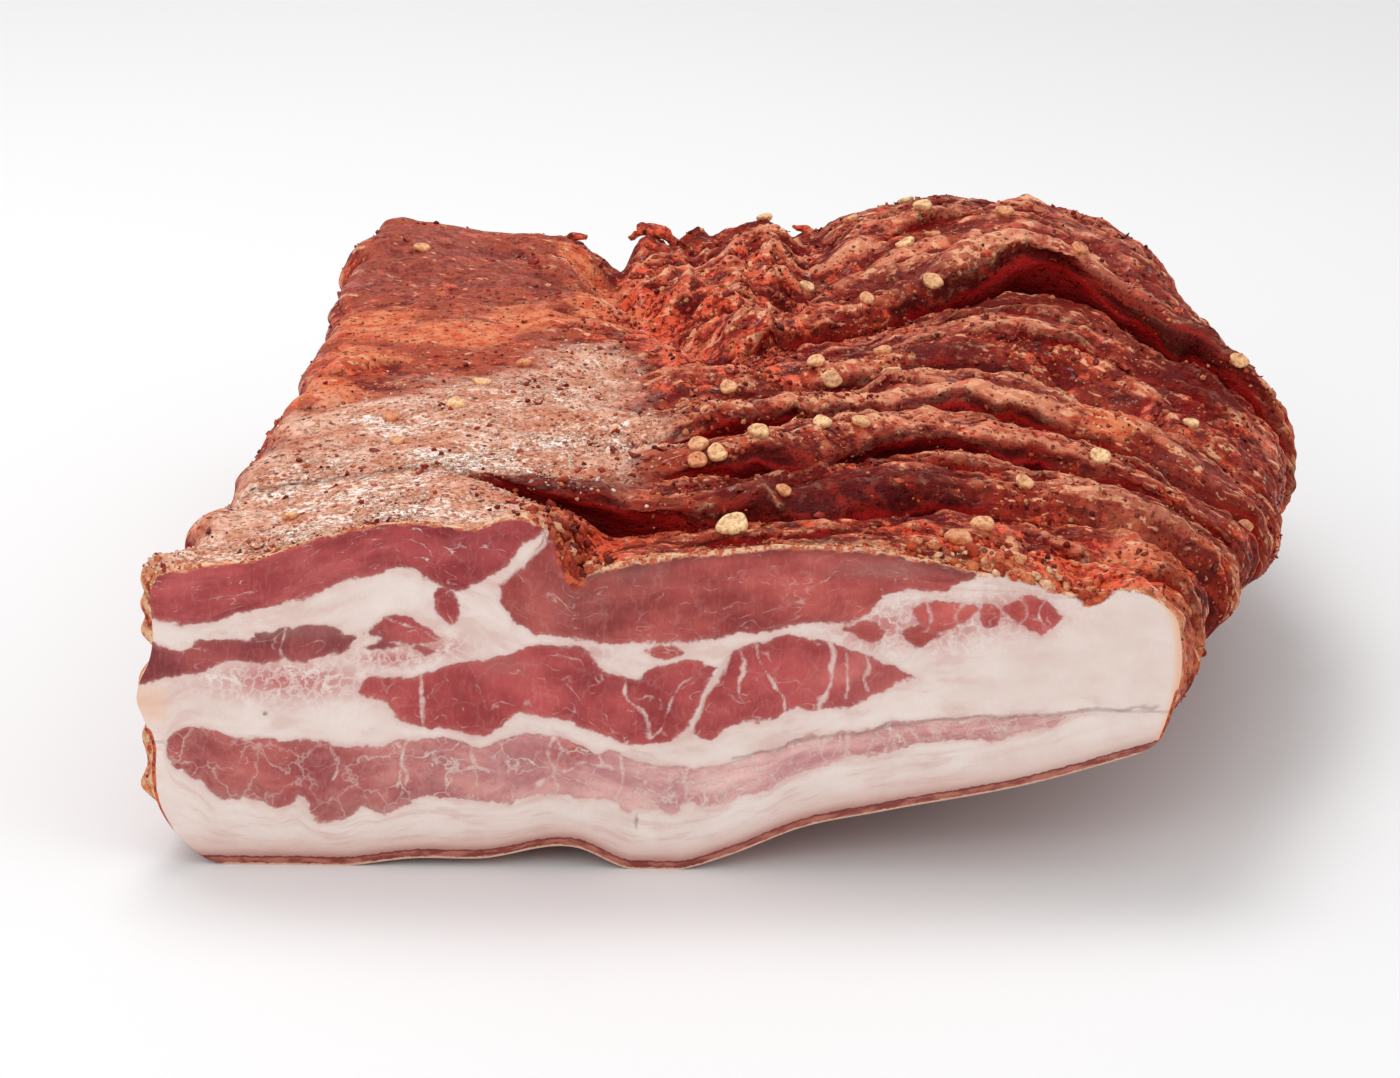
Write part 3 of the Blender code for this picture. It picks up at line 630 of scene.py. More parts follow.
# Bands of lean: colour, upper line, lower line. An end where both lines meet closes the band.
LEAN_BANDS = (
    (DEEP, TOP_EDGE, ((0.3, 56.2), (9, 55.8), (17, 57.6), (27, 59.8), (36, 62.4), (42, 65.8), (47, 66.8),
     (53, 68.8), (57, 67.6), (61, 65.2), (70, 65.2), (75, 69.2), (80, 74.4), (84, 79))),
    (ROSE, ((74.5, 66), (78, 68.5), (82, 71.5), (84, 77), (90, 90), (178, 90)), ((74.5, 66), (77, 58),
     (80, 56), (86, 54), (95, 52.9), (115, 53.2), (130, 54.7), (136, 56), (143, 57.9), (151, 59.2),
     (156, 61.7), (162, 64.9), (170, 65.9), (178, 69))),
    (DUSKY, ((-3, 53), (4, 50), (10, 53), (18, 53.2), (27, 54.6), (40, 54.9), (45.5, 53)), ((-3, 41),
     (0.4, 42.4), (9, 44.2), (17, 46.2), (24, 46.3), (29, 47.8), (37, 48.3), (44, 50.6), (45.5, 53))),
    (BRIGHT, ((47, 54), (50, 57), (55, 57.6), (60, 55.5), (62.4, 53)), ((47, 54), (50, 51.4), (57, 51),
     (62.4, 53))),
    (BRIGHT, ((44.5, 39), (47, 42.2), (50.5, 43.8), (58, 43.9), (65.5, 46.9), (71, 48.2), (77, 49.2),
     (81.5, 51.2), (88, 51.5), (94.3, 50.6), (98, 46.6), (103, 45.2), (107.3, 45.3), (110, 47.8),
     (114, 49.2), (119, 49), (122, 47)), ((44.5, 39), (51.9, 37.6), (56, 33.4), (63.7, 32.4), (69, 32),
     (77.7, 33.4), (79.3, 35.2), (86, 35), (92.8, 33.6), (97, 31.2), (103.5, 28.8), (108, 28.8), (112, 30),
     (116.6, 33.5), (119, 39), (122, 47))),
    (BRIGHT, ((118.2, 32), (120, 40), (123, 46.5), (126.5, 50), (131, 52.5), (137, 54), (146, 53.8),
     (153, 51.8), (159, 50), (163, 48), (167, 45.6)), ((118.2, 32), (122, 30.9), (126.5, 32.8), (133, 35.4),
     (139, 37.4), (146, 38), (152, 39.1), (158, 41.4), (163.3, 44), (167, 45.6))),
    (PALE, ((3.6, 28), (6, 31.2), (17, 29.8), (32, 28.9), (48, 28.6), (56, 29.8), (64, 30.2), (72, 29),
     (79.5, 31), (87.7, 30.6), (95.4, 27.6), (108.3, 25.4), (116.5, 24), (126.9, 26.2), (137, 29.2),
     (147, 32.2), (158, 34.2), (173, 35.6), (188, 37), (204, 38.4)), ((3.6, 28), (4.8, 24.2), (8.5, 21),
     (11.4, 19.2), (13.4, 16.6), (21, 14.8), (28.6, 13.2), (32.7, 14.8), (35.7, 12.2), (43.4, 11),
     (46.5, 12.4), (51.5, 12.5), (58, 15), (70, 15.2), (80, 15), (86.5, 17.2), (94, 15.7), (98, 16),
     (106.6, 13.4), (112, 12.9), (119.4, 14.3), (125, 15), (130, 17.6), (135, 18.6), (140, 22), (145, 24),
     (153.6, 26.8), (163, 29.3), (176, 30.4), (186, 32.3), (194, 34.4), (204, 38.4))),
    (BRIGHT, ((60.6, 60.5), (62.5, 63.6), (65, 63.8), (67, 60.5)), ((60.6, 60.5), (63, 57.2), (65.5, 57.2),
     (67, 60.5))),
    (ROSE, ((165, 61), (168, 63.2), (173, 63.8), (179.5, 61)), ((165, 61), (167, 58), (174, 57.4),
     (179.5, 61))),
    (ROSE, ((163, 56), (167, 58.4), (172.4, 56)), ((163, 56), (168, 53), (172.4, 56))),
    (BRIGHT, ((184, 62.4), (188, 64.8), (195, 64), (199, 60)), ((184, 62.4), (189, 58.6), (194.5, 56.4),
     (199, 60))),
    (ROSE, ((150.6, 57.2), (153, 59), (157, 58.8), (160, 56.6)), ((150.6, 57.2), (153, 55.4), (157, 54.4),
     (160, 56.6))),
    (ROSE, ((179.4, 60.4), (181, 62.8), (183, 62.8), (184.6, 60.4)), ((179.4, 60.4), (181, 58.2),
     (183, 57.8), (184.6, 60.4))),
    (DUSKY, ((47.5, 50.4), (49, 51.2), (52, 51), (54, 50)), ((47.5, 50.4), (49, 49.4), (52, 49), (54, 50))),
    (DUSKY, ((56, 50.2), (57.5, 51), (60, 50.8), (62, 49.8)), ((56, 50.2), (57.5, 49.2), (60, 48.8),
     (62, 49.8))),
    (ROSE, ((108, 51.2), (110, 52.6), (113, 52.4), (116, 51)), ((108, 51.2), (110, 50.2), (113, 50),
     (116, 51))),
)
# Fat veins: half width, then the line.
VEINS = ((0.55, ((22, 39), (32, 41), (42, 43), (50, 45), (58, 46.2), (68, 48.8))),
         (0.35, ((59.3, 44.5), (59.1, 38), (59.7, 32))),
         (0.75, ((126, 51), (122.5, 45.5), (120.4, 41.5), (118.8, 36), (117.2, 30.5))),
         (0.3, ((131.2, 53.5), (133.2, 48), (136.6, 42.5), (138.6, 37))),
         (0.45, ((147, 55), (148.2, 49.5), (148.6, 46), (146.6, 40), (146.2, 37))),
         (0.28, ((103.5, 46), (103.2, 42), (106.5, 37), (109.4, 31))),
         (0.25, ((109.4, 31), (111.5, 36), (114, 41), (117.5, 45.5))),
         (0.22, ((150.5, 51.5), (152, 46), (151.2, 41))),
         (0.4, ((74, 66), (79, 69.5), (83.5, 74), (84.5, 78))),
         (0.3, ((152, 34), (151.8, 29.5), (150.6, 25.5))),
         (0.3, ((88, 30.5), (86.8, 26.6), (88, 22.8), (85.2, 19.4))),
         (0.25, ((70.8, 29.5), (72, 24.6), (74.6, 22))), (0.3, ((28, 47), (27.6, 51), (28.2, 55))),
         (0.42, ((167.5, 64.5), (169.4, 60.6), (168.6, 57))),
         (0.36, ((176.4, 64), (174.6, 60.4), (176.2, 57.4))),
         (0.4, ((187.6, 65.4), (189.6, 61.6), (187.8, 58.4))),
         (0.3, ((194.4, 65), (192.8, 61), (194.8, 57))),
         (0.3, ((127, 53), (128.6, 48.4), (127.2, 44), (128.4, 39))),
         (0.26, ((155, 52.6), (156.6, 48.6), (155.4, 44.6), (157, 42))),
         (0.34, ((50, 57.6), (53.6, 55.2), (58.4, 54.6), (62, 52.6))),
         (0.3, ((104, 29.6), (102.4, 25), (104.2, 20.6), (102.8, 16))),
         (0.3, ((118, 25), (116.6, 21.4), (118.4, 17.4), (117.4, 14.6))),
         (0.28, ((133, 28.6), (132, 25.4), (133.4, 21.4))),
         (0.28, ((56, 30), (54.6, 26), (56.4, 21.6), (55, 17))),
         (0.24, ((40, 28.6), (41.4, 24), (39.8, 19))),
         (0.3, ((64, 24.4), (68, 22.4), (72, 23.6), (77, 22))),
         (0.3, ((90, 22.6), (96, 24.2), (101, 22.6))))
# Soft pink patches of fine lean in the fat: place, reach and strength.
LACY = ((30, 43, 18, 4.6, 1), (52, 48.2, 8, 2.2, 1), (158, 56.8, 9.5, 5.2, 1), (171, 58.5, 11, 5.5, 1),
        (186, 61, 11, 4.6, 0.9), (94, 50.5, 6, 2.2, 0.6), (60, 51, 9, 2.8, 0.9))
# Dark nicks: place across and up, reach and strength.
NICKS = ((25.1, 35.1, 0.8, 0.7, 1), (106.9, 11.4, 0.7, 2.8, 0.75), (15.5, 53.4, 3, 0.6, 0.55),
         (121.8, 53.2, 1.2, 0.5, 0.4), (7.5, 51, 2.2, 0.8, 0.5))
# The top lean's lower border, and where muscles end in lobes: place, height, reaches, strength.
TOP_LEAN_LOW = ((0, 56), (9, 55.8), (17, 57.6), (27, 59.8), (36, 62.4), (43, 66.2), (53, 68.5), (61, 65),
                (72, 62), (80, 56), (95, 53), (115, 53.2), (130, 54.7), (143, 58), (156, 61), (170, 63),
                (185, 64), (221, 65))
CUT_SPAN, CUT_RISE = 221, 72
RIND_THICKNESS = 2.6
LOWEST_MUSCLE = 6
PIT_PLACE = 89.5
LAYER_THICKNESS = 0.016
THINNEST_LAYER = 0.6
LINES_WANDER = ((9.0, 0.9, 100), (3.6, 0.55, 102), (1.7, 0.25, 104))
PALER_FROM = (26, 130)
LOBES = ((20, 52, 34, 3.5, 1.0), (60, 14, 70, 7, 0.6), (120, 14, 30, 8, 1.0), (30, 22, 40, 9, 0.8))
GREYED = ((24, 54, 24, 2, 0.8), (16, 15, 9, 3, 0.8), (46, 13, 8, 2.5, 0.7), (88, 60, 9, 7, 0.25),
          (76, 47, 6, 2.5, 0.5), (158, 70.5, 12, 2.2, 0.8), (38, 40.4, 5, 1.6, 0.6), (104, 69, 8, 3, 0.5))
SEAM = ((128, 27.0), (150, 32.2), (175, 35.6), (200, 38.4), (212, 39.6), (220.5, 40.3))


def blobs(across, height, spots):
    """Soft round patches, the strongest at each point."""
    total = np.zeros_like(across)
    for place, up, wide, high, strength in spots:
        spot = np.exp(-((across - place) / wide)**2 - ((height - up) / high)**2)
        total = np.maximum(total, strength * spot)
    return total


def depth_in_band(across, height, upper, lower, top_edge):
    """About how deep each point lies in a band of lean, in millimetres: positive inside, negative outside."""
    start, end = lower[0][0], lower[-1][0]
    over = smooth_line(lower)(across)
    under = top_edge + 3 if upper is None else smooth_line(upper)(across)
    steep = [np.clip(np.hypot(1, smooth_line(line)(across + 0.5) - smooth_line(line)(across - 0.5)), 1, 2.5)
             for line in (lower, upper or lower)]
    depth = np.minimum((height - over) / steep[0], (under - height) / (steep[1] if upper else 1))
    ends = np.minimum(across - start, end - across) + 0.6
    return np.minimum(depth, ends)


def distance_to(across, height, line):
    """Distance of each point from a line of straight runs."""
    nearest = np.full_like(across, 1e3)
    for (ax, ay), (bx, by) in zip(line, line[1:]):
        run = (bx - ax)**2 + (by - ay)**2
        t = np.clip(((across - ax) * (bx - ax) + (height - ay) * (by - ay)) / run, 0, 1)
        nearest = np.minimum(nearest, np.hypot(across - ax - t * (bx - ax), height - ay - t * (by - ay)))
    return nearest


def smooth_run(line, steps=8):
    """A line of few points as a smooth one of many, by its own length."""
    points = np.array(line, float)
    length = np.concatenate([[0], np.cumsum(np.hypot(*np.diff(points, axis=0).T))])
    where = np.linspace(0, length[-1], steps * (len(line) - 1) + 1)
    return np.stack([smooth_line(np.stack([length, points[:, k]], 1))(where) for k in (0, 1)], 1)


def marbling(across, height):
    """Fields for the finish of the cut, from places and heights in millimetres."""
    top_edge = smooth_line(CUT_TOP)(across * MM) / MM
    spots, true_across, true_height = flat(across, height), across, height
    for size, reach, seed in LINES_WANDER:
        across = across + reach * lumps(spots, size, seed)
        height = height + reach * lumps(spots, size, seed + 1)
    lean, weights, colour = np.full_like(across, -30.0), 0, 0
    for shade, upper, lower in LEAN_BANDS:
        depth = depth_in_band(across, height, upper, lower, top_edge)
        weight = np.exp(np.clip(depth, -20, 4) / 1.2)
        weights = weights + weight
        if shade == PALE:
            shift = ease(across, *PALER_FROM)[..., None]
            shade = np.array(PALE) * (1 - shift) + np.array(PALEST) * shift
        colour = colour + weight[..., None] * np.array(shade)
        lean = np.maximum(lean, depth)
    vein = np.full_like(across, -30.0)
    colour = colour / weights[..., None]
    for place, up, wide, high, strength, tint in TINTS:
        share = blobs(across, height, ((place, up, wide, high, strength),))[..., None]
        colour = colour * (1 - share) + np.array(srgb(*tint)) * share
    for half, line in VEINS:
        vein = np.maximum(vein, half - distance_to(across, height, smooth_run(line)))
    seam = 0.35 - distance_to(across, height, smooth_run(SEAM))
    pale = LEAN_BANDS[LOWEST_MUSCLE]
    bottom_edge = np.maximum(smooth_line(CUT_BOTTOM)(across * MM) / MM, 0)
    across, height = true_across, true_height
    borders = [bottom_edge, smooth_line(pale[2])(across), smooth_line(pale[1])(across),
               smooth_line(TOP_LEAN_LOW)(across), top_edge]
    layer = sum(np.clip((height - low) / np.maximum(high - low, THINNEST_LAYER), 0, 1)
                for low, high in zip(borders, borders[1:]))
    fields = {name: blobs(across, height, spots)
              for name, spots in (("lacy", LACY), ("lobes", LOBES), ("greyed", GREYED), ("nick", NICKS))}
    fields.update({"lean": lean, "vein": vein, "seam": seam, "layer": layer * LAYER_THICKNESS,
                   "along": across * MM})
    return fields, colour


def cut_grid():
    """The cut as a grid of points stretched between its four edges, a little uneven."""
    wide, high = CUT_POINTS
    share_u, share_v = np.linspace(0, 1, wide + 1), np.linspace(0, 1, high + 1)

    def edge(number, share):
        share = np.clip(share, 0, 1 - 1e-9)
        points, _, across, _ = section(np.full(len(share), number), share, np.zeros(len(share)))
        return stepped(points, across)

    top_edge, right_edge = edge(0, share_u), edge(1, share_v)
    bottom_edge, left_edge = edge(2, share_u)[::-1], edge(3, share_v)[::-1]
    u, v = share_u[None, :, None], share_v[:, None, None]
    stretched = (1 - v) * top_edge[None] + v * bottom_edge[None]
    stretched = stretched + (1 - u) * left_edge[:, None] + u * right_edge[:, None]
    corners = ((1 - v) * ((1 - u) * top_edge[0] + u * top_edge[-1])
               + v * ((1 - u) * bottom_edge[0] + u * bottom_edge[-1]))
    return stretched - corners


# Meshes and scattering.

PLACE = None


def add_mesh(name, points, faces, finish, normals=None):
    """A piece from points in the cut's frame. It rides on the only body, and the solid is hidden."""
    mesh = bpy.data.meshes.new(name)
    placed = np.asarray(points, float).reshape(-1, 3) + PLACE
    mesh.from_pydata(placed.tolist(), [], faces.tolist() if hasattr(faces, "tolist") else faces)
    mesh.materials.append(finish)
    mesh.shade_smooth()
    if normals is not None:
        mesh.normals_split_custom_set_from_vertices(normals.reshape(-1, 3).tolist())
    piece = bpy.data.objects.new(name, mesh)
    bpy.context.scene.collection.objects.link(piece)
    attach(piece, "root")
    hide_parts("pancetta")
    return piece


def paint(piece, fields, kind="FLOAT", part="value"):
    """Keep named values or colours for each point of a piece, for its finish to read."""
    for name, values in fields.items():
        layer = piece.data.attributes.new(name, kind, "POINT")
        layer.data.foreach_set(part, np.ascontiguousarray(values, np.float32).ravel())


def grid_faces(rows, columns):
    """Faces of a grid of points, facing out for rows that run back and columns that run round."""
    number = np.arange(rows * columns).reshape(rows, columns)
    a, b, c, d = number[:-1, :-1], number[:-1, 1:], number[1:, 1:], number[1:, :-1]
    return np.stack([a, b, c, d], -1).reshape(-1, 4)


def facing(grid, way):
    """Faces and normals of a grid of points that face the given way along Y."""
    rows, columns = grid.shape[:2]
    faces, normals = grid_faces(rows, columns), grid_normals(grid, False)
    if normals[rows // 2, columns // 2, 1] * way < 0:
        faces, normals = faces[:, ::-1], -normals
    return faces, normals


def turned(normals, spins):
    """Matrices that turn a thing's own up to each normal after a spin about it."""
    helper = np.where(np.abs(normals[:, 2:]) > 0.9, [[1.0, 0, 0]], [[0, 0, 1.0]])
    first = np.cross(helper, normals)
    first /= np.linalg.norm(first, axis=1, keepdims=True)
    second = np.cross(normals, first)
    c, s = np.cos(spins)[:, None], np.sin(spins)[:, None]
    return np.stack([first * c + second * s, second * c - first * s, normals], -1)


def scattered(name, shapes, places, normals, sizes, draw, finish):
    """One joined piece from many small ones at true size, each with its own number for its colour."""
    turns = turned(normals, draw.uniform(0, 2 * math.pi, len(places)))
    kinds = draw.randint(0, len(shapes), len(places))
    points, faces, picks, count = [], [], [], 0
    for kind, (shape, shape_faces) in enumerate(shapes):
        chosen = np.nonzero(kinds == kind)[0]
        body = np.einsum("nij,nkj->nki", turns[chosen], shape[None] * sizes[chosen][:, None, :])
        points.append((body + places[chosen][:, None]).reshape(-1, 3))
        offsets = count + len(shape) * np.arange(len(chosen))
        faces += [tuple(corner + offset for corner in face)
                  for offset in offsets.tolist() for face in shape_faces]
        picks.append(np.repeat(draw.uniform(0, 1, len(chosen)), len(shape)))
        count += len(chosen) * len(shape)
    piece = add_mesh(name, np.concatenate(points), faces, finish)
    paint(piece, {"pick": np.concatenate(picks)})
    return piece


def seed_shape(draw):
    """A flat chilli seed, one across: a rolled rim round a sunken middle, with a small beak."""
    rings = ((0.0, 0.13), (0.22, 0.10), (0.34, 0.17), (0.43, 0.20), (0.5, 0.08), (0.44, -0.12), (0.2, -0.3))
    sides = 18
    points, faces = [(0, 0, rings[0][1])], []
    for ring, (out, up) in enumerate(rings[1:]):
        for number in range(sides):
            turn = 2 * math.pi * number / sides
            beak = 1 + 0.16 * math.exp(-((turn - math.pi) / 0.35)**2)
            beak -= 0.10 * math.exp(-((turn - 3.9) / 0.3)**2)
            wave = 1 + 0.03 * math.sin(3 * turn + ring)
            points.append((out * beak * wave * math.cos(turn), out * beak * wave * math.sin(turn),
                           up + 0.05 * math.sin(2 * turn + 0.8)))
    points.append((0, 0, rings[-1][1] - 0.05))
    points = np.array(points) + draw.uniform(-0.006, 0.006, (len(points), 3))
    for number in range(sides):
        faces.append((0, 1 + number, 1 + (number + 1) % sides))
    for ring in range(len(rings) - 2):
        for number in range(sides):
            a, b = 1 + ring * sides + number, 1 + ring * sides + (number + 1) % sides
            faces.append((a, a + sides, b + sides, b))
    last = 1 + (len(rings) - 2) * sides
    for number in range(sides):
        faces.append((len(points) - 1, last + (number + 1) % sides, last + number))
    return points, faces


def flake_shape(draw):
    """A curled flake of dried chilli skin, one across: a thin closed plate with a torn outline."""
    sides = 8
    turn = 2 * math.pi * (np.arange(sides) + draw.uniform(-0.3, 0.3, sides)) / sides
    out = draw.uniform(0.32, 0.58, sides)
    plate = np.stack([out * np.cos(turn), 0.62 * out * np.sin(turn)], -1)
    plate = np.vstack([plate, [[0, 0]]])
    curl = draw.uniform(-0.9, 1.3) * plate[:, 0]**2 + draw.uniform(-0.8, 0.8) * plate[:, 0] * plate[:, 1]
    thick = 0.035
    upper = np.column_stack([plate, curl + thick])
    lower = np.column_stack([plate, curl - thick])
    faces = []
    for number in range(sides):
        following = (number + 1) % sides
        faces.append((number, following, sides))
        faces.append((sides + 1 + following, sides + 1 + number, 2 * sides + 1))
        faces.append((number, sides + 1 + number, sides + 1 + following, following))
    return np.vstack([upper, lower]), faces


def crumb_shape(draw):
    """A crumb of spice paste, one across: an uneven little block of twenty faces."""
    golden = (1 + math.sqrt(5)) / 2
    corners = []
    for a in (-1, 1):
        for b in (-golden, golden):
            corners += [(0, a, b), (a, b, 0), (b, 0, a)]
    corners = np.array(corners, float)
    corners /= 2 * np.linalg.norm(corners[0])
    gaps = np.linalg.norm(corners[:, None] - corners[None], axis=-1)
    edge = np.sort(np.unique(gaps.round(6)))[1]
    near = np.abs(gaps - edge) < 1e-3
    faces = []
    for a in range(12):
        for b in range(a + 1, 12):
            for c in range(b + 1, 12):
                if near[a, b] and near[b, c] and near[a, c]:
                    out = np.dot(np.cross(corners[b] - corners[a], corners[c] - corners[a]), corners[a])
                    faces.append((a, b, c) if out > 0 else (a, c, b))
    return corners * draw.uniform(0.5, 1.3, (12, 1)), faces


def seed_places(points, normals):
    """Where the seeds lie on the fine skin: those on top by their list, the others at random."""
    draw = np.random.RandomState(SEEDING_SEED)
    x, back = np.array([spot[:2] for spot in SEEDS_ON_TOP]).T * MM
    left, right = smooth_line(LEFT_EDGE)(back), smooth_line(RIGHT_EDGE)(back)
    across = (x - left) / (right - left)
    kept = list(np.stack([x, back, top(across, x, back)], -1))
    for side, count in enumerate(SEEDS_ON_SIDES):
        wanted = len(kept) + count
        while len(kept) < wanted:
            share = draw.uniform(SEEDS_FROM_EDGE, 1 - SEEDS_FROM_EDGE)
            back = draw.uniform(SEEDS_FROM_CUT, LENGTH - END_RADIUS)
            height, chance = draw.uniform(*SEEDS_UP_END), draw.uniform()
            thickness = SEEDS_ON_LEFT + (1 - SEEDS_ON_LEFT) * float(ease(share, *SEEDS_THICKEN))
            if side == 3:
                left, right = LEFT_EDGE[-1][1], RIGHT_EDGE[-1][1]
                place = np.array([left + share * (right - left), LENGTH, height * SIDE_HEIGHT])
            else:
                number = (0, 1, 3)[side]
                place = coarse_skin(np.array([number]), np.array([share]), np.array([back]))[0]
            lone = all(np.linalg.norm(place - other) > SEED_SPACING for other in kept)
            if lone and (side > 0 or chance < thickness):
                kept.append(place)
    nearest = [int(np.argmin(((points - place)**2).sum(1))) for place in kept]
    for number in range(len(SEEDS_ON_TOP)):
        spot = kept[number]
        near = np.nonzero((np.abs(points[:, :2] - spot[:2]).max(1) < 0.0022) & (points[:, 2] > 0.05))[0]
        nearest[number] = int(near[np.argmax(points[near, 2])])
    return points[nearest], normals[nearest]


# What the skin and the cut keep at each point for their finishes.
SKIN_FIELDS = ("inside", "front", "crown", "standing", "raised", "along", "over", "left_part", "bloom",
               "dusty", "shaded", "fatty", "smooth_lean", "paste", "rim")
CUT_FIELDS = ("lean", "vein", "lacy", "lobes", "greyed", "layer", "along", "nick", "seam", "laced", "squared",
              "flecked", "browned", "near_rind", "by_rind", "plain", "peach", "rind", "under_crust", "spiced")


# Finishes. Small helpers first, then the effects that several finishes share, then the finishes.

class Value:
    """A value, place or colour in a finish. Arithmetic on it adds the shader nodes that work it out."""

    def __init__(self, socket):
        self.socket, self.tree = socket, socket.id_data

    def __add__(self, other):
        return maths("ADD", self, other)

    def __radd__(self, other):
        return maths("ADD", other, self)

    def __sub__(self, other):
        return maths("SUBTRACT", self, other)

    def __rsub__(self, other):
        return maths("SUBTRACT", other, self)

    def __mul__(self, other):
        return maths("MULTIPLY", self, other)


def connect(value, socket):
    """Link a value into a socket, or set the socket to a constant."""
    if isinstance(value, Value):
        value.tree.links.new(value.socket, socket)
    else:
        socket.default_value = value


def add_node(tree, kind, inputs=None, **settings):
    """Add a shader node with its settings, and set or link its inputs by name or number."""
    node = tree.nodes.new(kind)
    for name, setting in settings.items():
        setattr(node, name, setting)
    for key, value in (inputs or {}).items():
        connect(value, node.inputs[key])
    return node


def maths(operation, *values, clamp=False):
    """Arithmetic on values, of which some can be plain numbers."""
    tree = next(value.tree for value in values if isinstance(value, Value))
    inputs = dict(enumerate(values))
    return Value(add_node(tree, "ShaderNodeMath", inputs, operation=operation, use_clamp=clamp).outputs[0])


def greater(first, second):
    """The greater of two values."""
    return maths("MAXIMUM", first, second)


def field(tree, name, output="Fac"):
    """The value or colour that a piece keeps under this name."""
    return Value(add_node(tree, "ShaderNodeAttribute", attribute_name=name).outputs[output])


def fields_of(tree, names):
    """All the values that a piece keeps, by their names."""
    return SimpleNamespace(**{name: field(tree, name) for name in names})


def step(value, low, high):
    """0 where the value is below low, 1 above high, smooth between."""
    inputs = {0: value, 1: low, 2: high}
    node = add_node(value.tree, "ShaderNodeMapRange", inputs, interpolation_type="SMOOTHSTEP")
    return Value(node.outputs[0])


def share(value, low, high, strength):
    """0 where the value is below low, the given strength above high, smooth between."""
    return step(value, low, high) * strength


def around(value, strength):
    """A noise moved to lie around 0, with the given strength."""
    return (value - 0.5) * strength


def blend(mask, first, second, how="MIX"):
    """One colour over another by a mask. Three numbers are a colour as seen, from 0 to 255 for each part."""
    tree = next(value.tree for value in (mask, first) if isinstance(value, Value))
    first, second = (srgb(*tone) if isinstance(tone, tuple) and len(tone) == 3 else tone
                     for tone in (first, second))
    inputs = {0: mask, 6: first, 7: second}
    return Value(add_node(tree, "ShaderNodeMix", inputs, data_type="RGBA", blend_type=how).outputs[2])


def layered(colour, *layers):
    """A colour with others laid over it in turn: for each its mask and its tone."""
    for mask, tone in layers:
        colour = blend(mask, colour, tone)
    return colour


def here(tree):
    """Places on the piece in metres."""
    return Value(add_node(tree, "ShaderNodeTexCoord").outputs["Object"])


def level_place(x, y):
    """A place from two values."""
    return Value(add_node(x.tree, "ShaderNodeCombineXYZ", {"X": x, "Y": y}).outputs[0])


def place_maths(operation, place, other):
    """Arithmetic on places."""
    node = add_node(place.tree, "ShaderNodeVectorMath", {0: place, 1: other}, operation=operation)
    return Value(node.outputs[0])


def stretched(place, *ways):
    """Places pulled out or squeezed along each way."""
    return place_maths("MULTIPLY", place, ways)


def shifted(place, cloud, reach):
    """Places moved about by a coloured noise."""
    return place_maths("ADD", place, stretched(cloud, reach, reach, reach))


def noise(place, size, detail=3.0, rough=0.55, output="Fac"):
    """Soft noise from 0 to 1 with features of the given size in metres."""
    inputs = {"Vector": place, "Scale": 1 / size, "Detail": detail, "Roughness": rough}
    return Value(add_node(place.tree, "ShaderNodeTexNoise", inputs).outputs[output])


def new_group(name, inputs, outputs):
    """An empty node group: its named inputs with their defaults, none for a place, and its named outputs."""
    group = bpy.data.node_groups.new(name, "ShaderNodeTree")
    for label, value in inputs.items():
        kind = "NodeSocketVector" if value is None else "NodeSocketFloat"
        socket = group.interface.new_socket(label, in_out="INPUT", socket_type=kind)
        if value is not None:
            socket.default_value = value
    for label in outputs:
        group.interface.new_socket(label, in_out="OUTPUT", socket_type="NodeSocketFloat")
    given = group.nodes.new("NodeGroupInput").outputs
    return group, {label: Value(given[label]) for label in inputs}, group.nodes.new("NodeGroupOutput").inputs


def grains_group():
    """Spice grains: round grains of one size, a share of them kept, each with its own number."""
    group, given, result = new_group("spice grains", {"Place": None, "Per Metre": 700.0, "Share": 0.4},
                                     ("Mask", "Pick", "Height"))
    place = shifted(given["Place"], noise(given["Place"], 0.0025, 2.0, 0.5, "Color"), 0.0016)
    cells = add_node(group, "ShaderNodeTexVoronoi", {"Vector": place, "Scale": given["Per Metre"]})
    distance = Value(cells.outputs["Distance"])
    parts = add_node(group, "ShaderNodeSeparateColor", {"Color": Value(cells.outputs["Color"])})
    kept = maths("LESS_THAN", Value(parts.outputs[0]), given["Share"])
    mask = kept * (1.0 - step(distance, 0.30, 0.46))
    connect(mask, result["Mask"])
    connect(Value(parts.outputs[1]), result["Pick"])
    connect(mask * greater(0.5 - distance, 0.0), result["Height"])
    return group


def patches_group():
    """Cloudy patches: a mask with torn edges that covers about the given share."""
    inputs = {"Place": None, "Per Metre": 100.0, "Cover": 0.5, "Softness": 0.06}
    group, given, result = new_group("cloudy patches", inputs, ("Mask",))
    cloud = add_node(group, "ShaderNodeTexNoise", {"Vector": given["Place"], "Scale": given["Per Metre"],
                                                   "Detail": 4.0, "Roughness": 0.68})
    edge = 0.72 - given["Cover"] * 0.44
    mask = step(Value(cloud.outputs["Fac"]), edge - given["Softness"], edge + given["Softness"])
    connect(mask, result["Mask"])
    return group


def patches(group, place, size, cover, softness=0.06):
    """Cloudy patches of a size in metres."""
    inputs = {"Place": place, "Per Metre": 1 / size, "Cover": cover, "Softness": softness}
    return Value(add_node(place.tree, "ShaderNodeGroup", inputs, node_tree=group).outputs["Mask"])


def grains(group, place, size, kept):
    """Spice grains of a size in metres: mask, pick and height."""
    inputs = {"Place": place, "Per Metre": 1 / size, "Share": kept}
    node = add_node(place.tree, "ShaderNodeGroup", inputs, node_tree=group)
    return {socket.name: Value(socket) for socket in node.outputs}


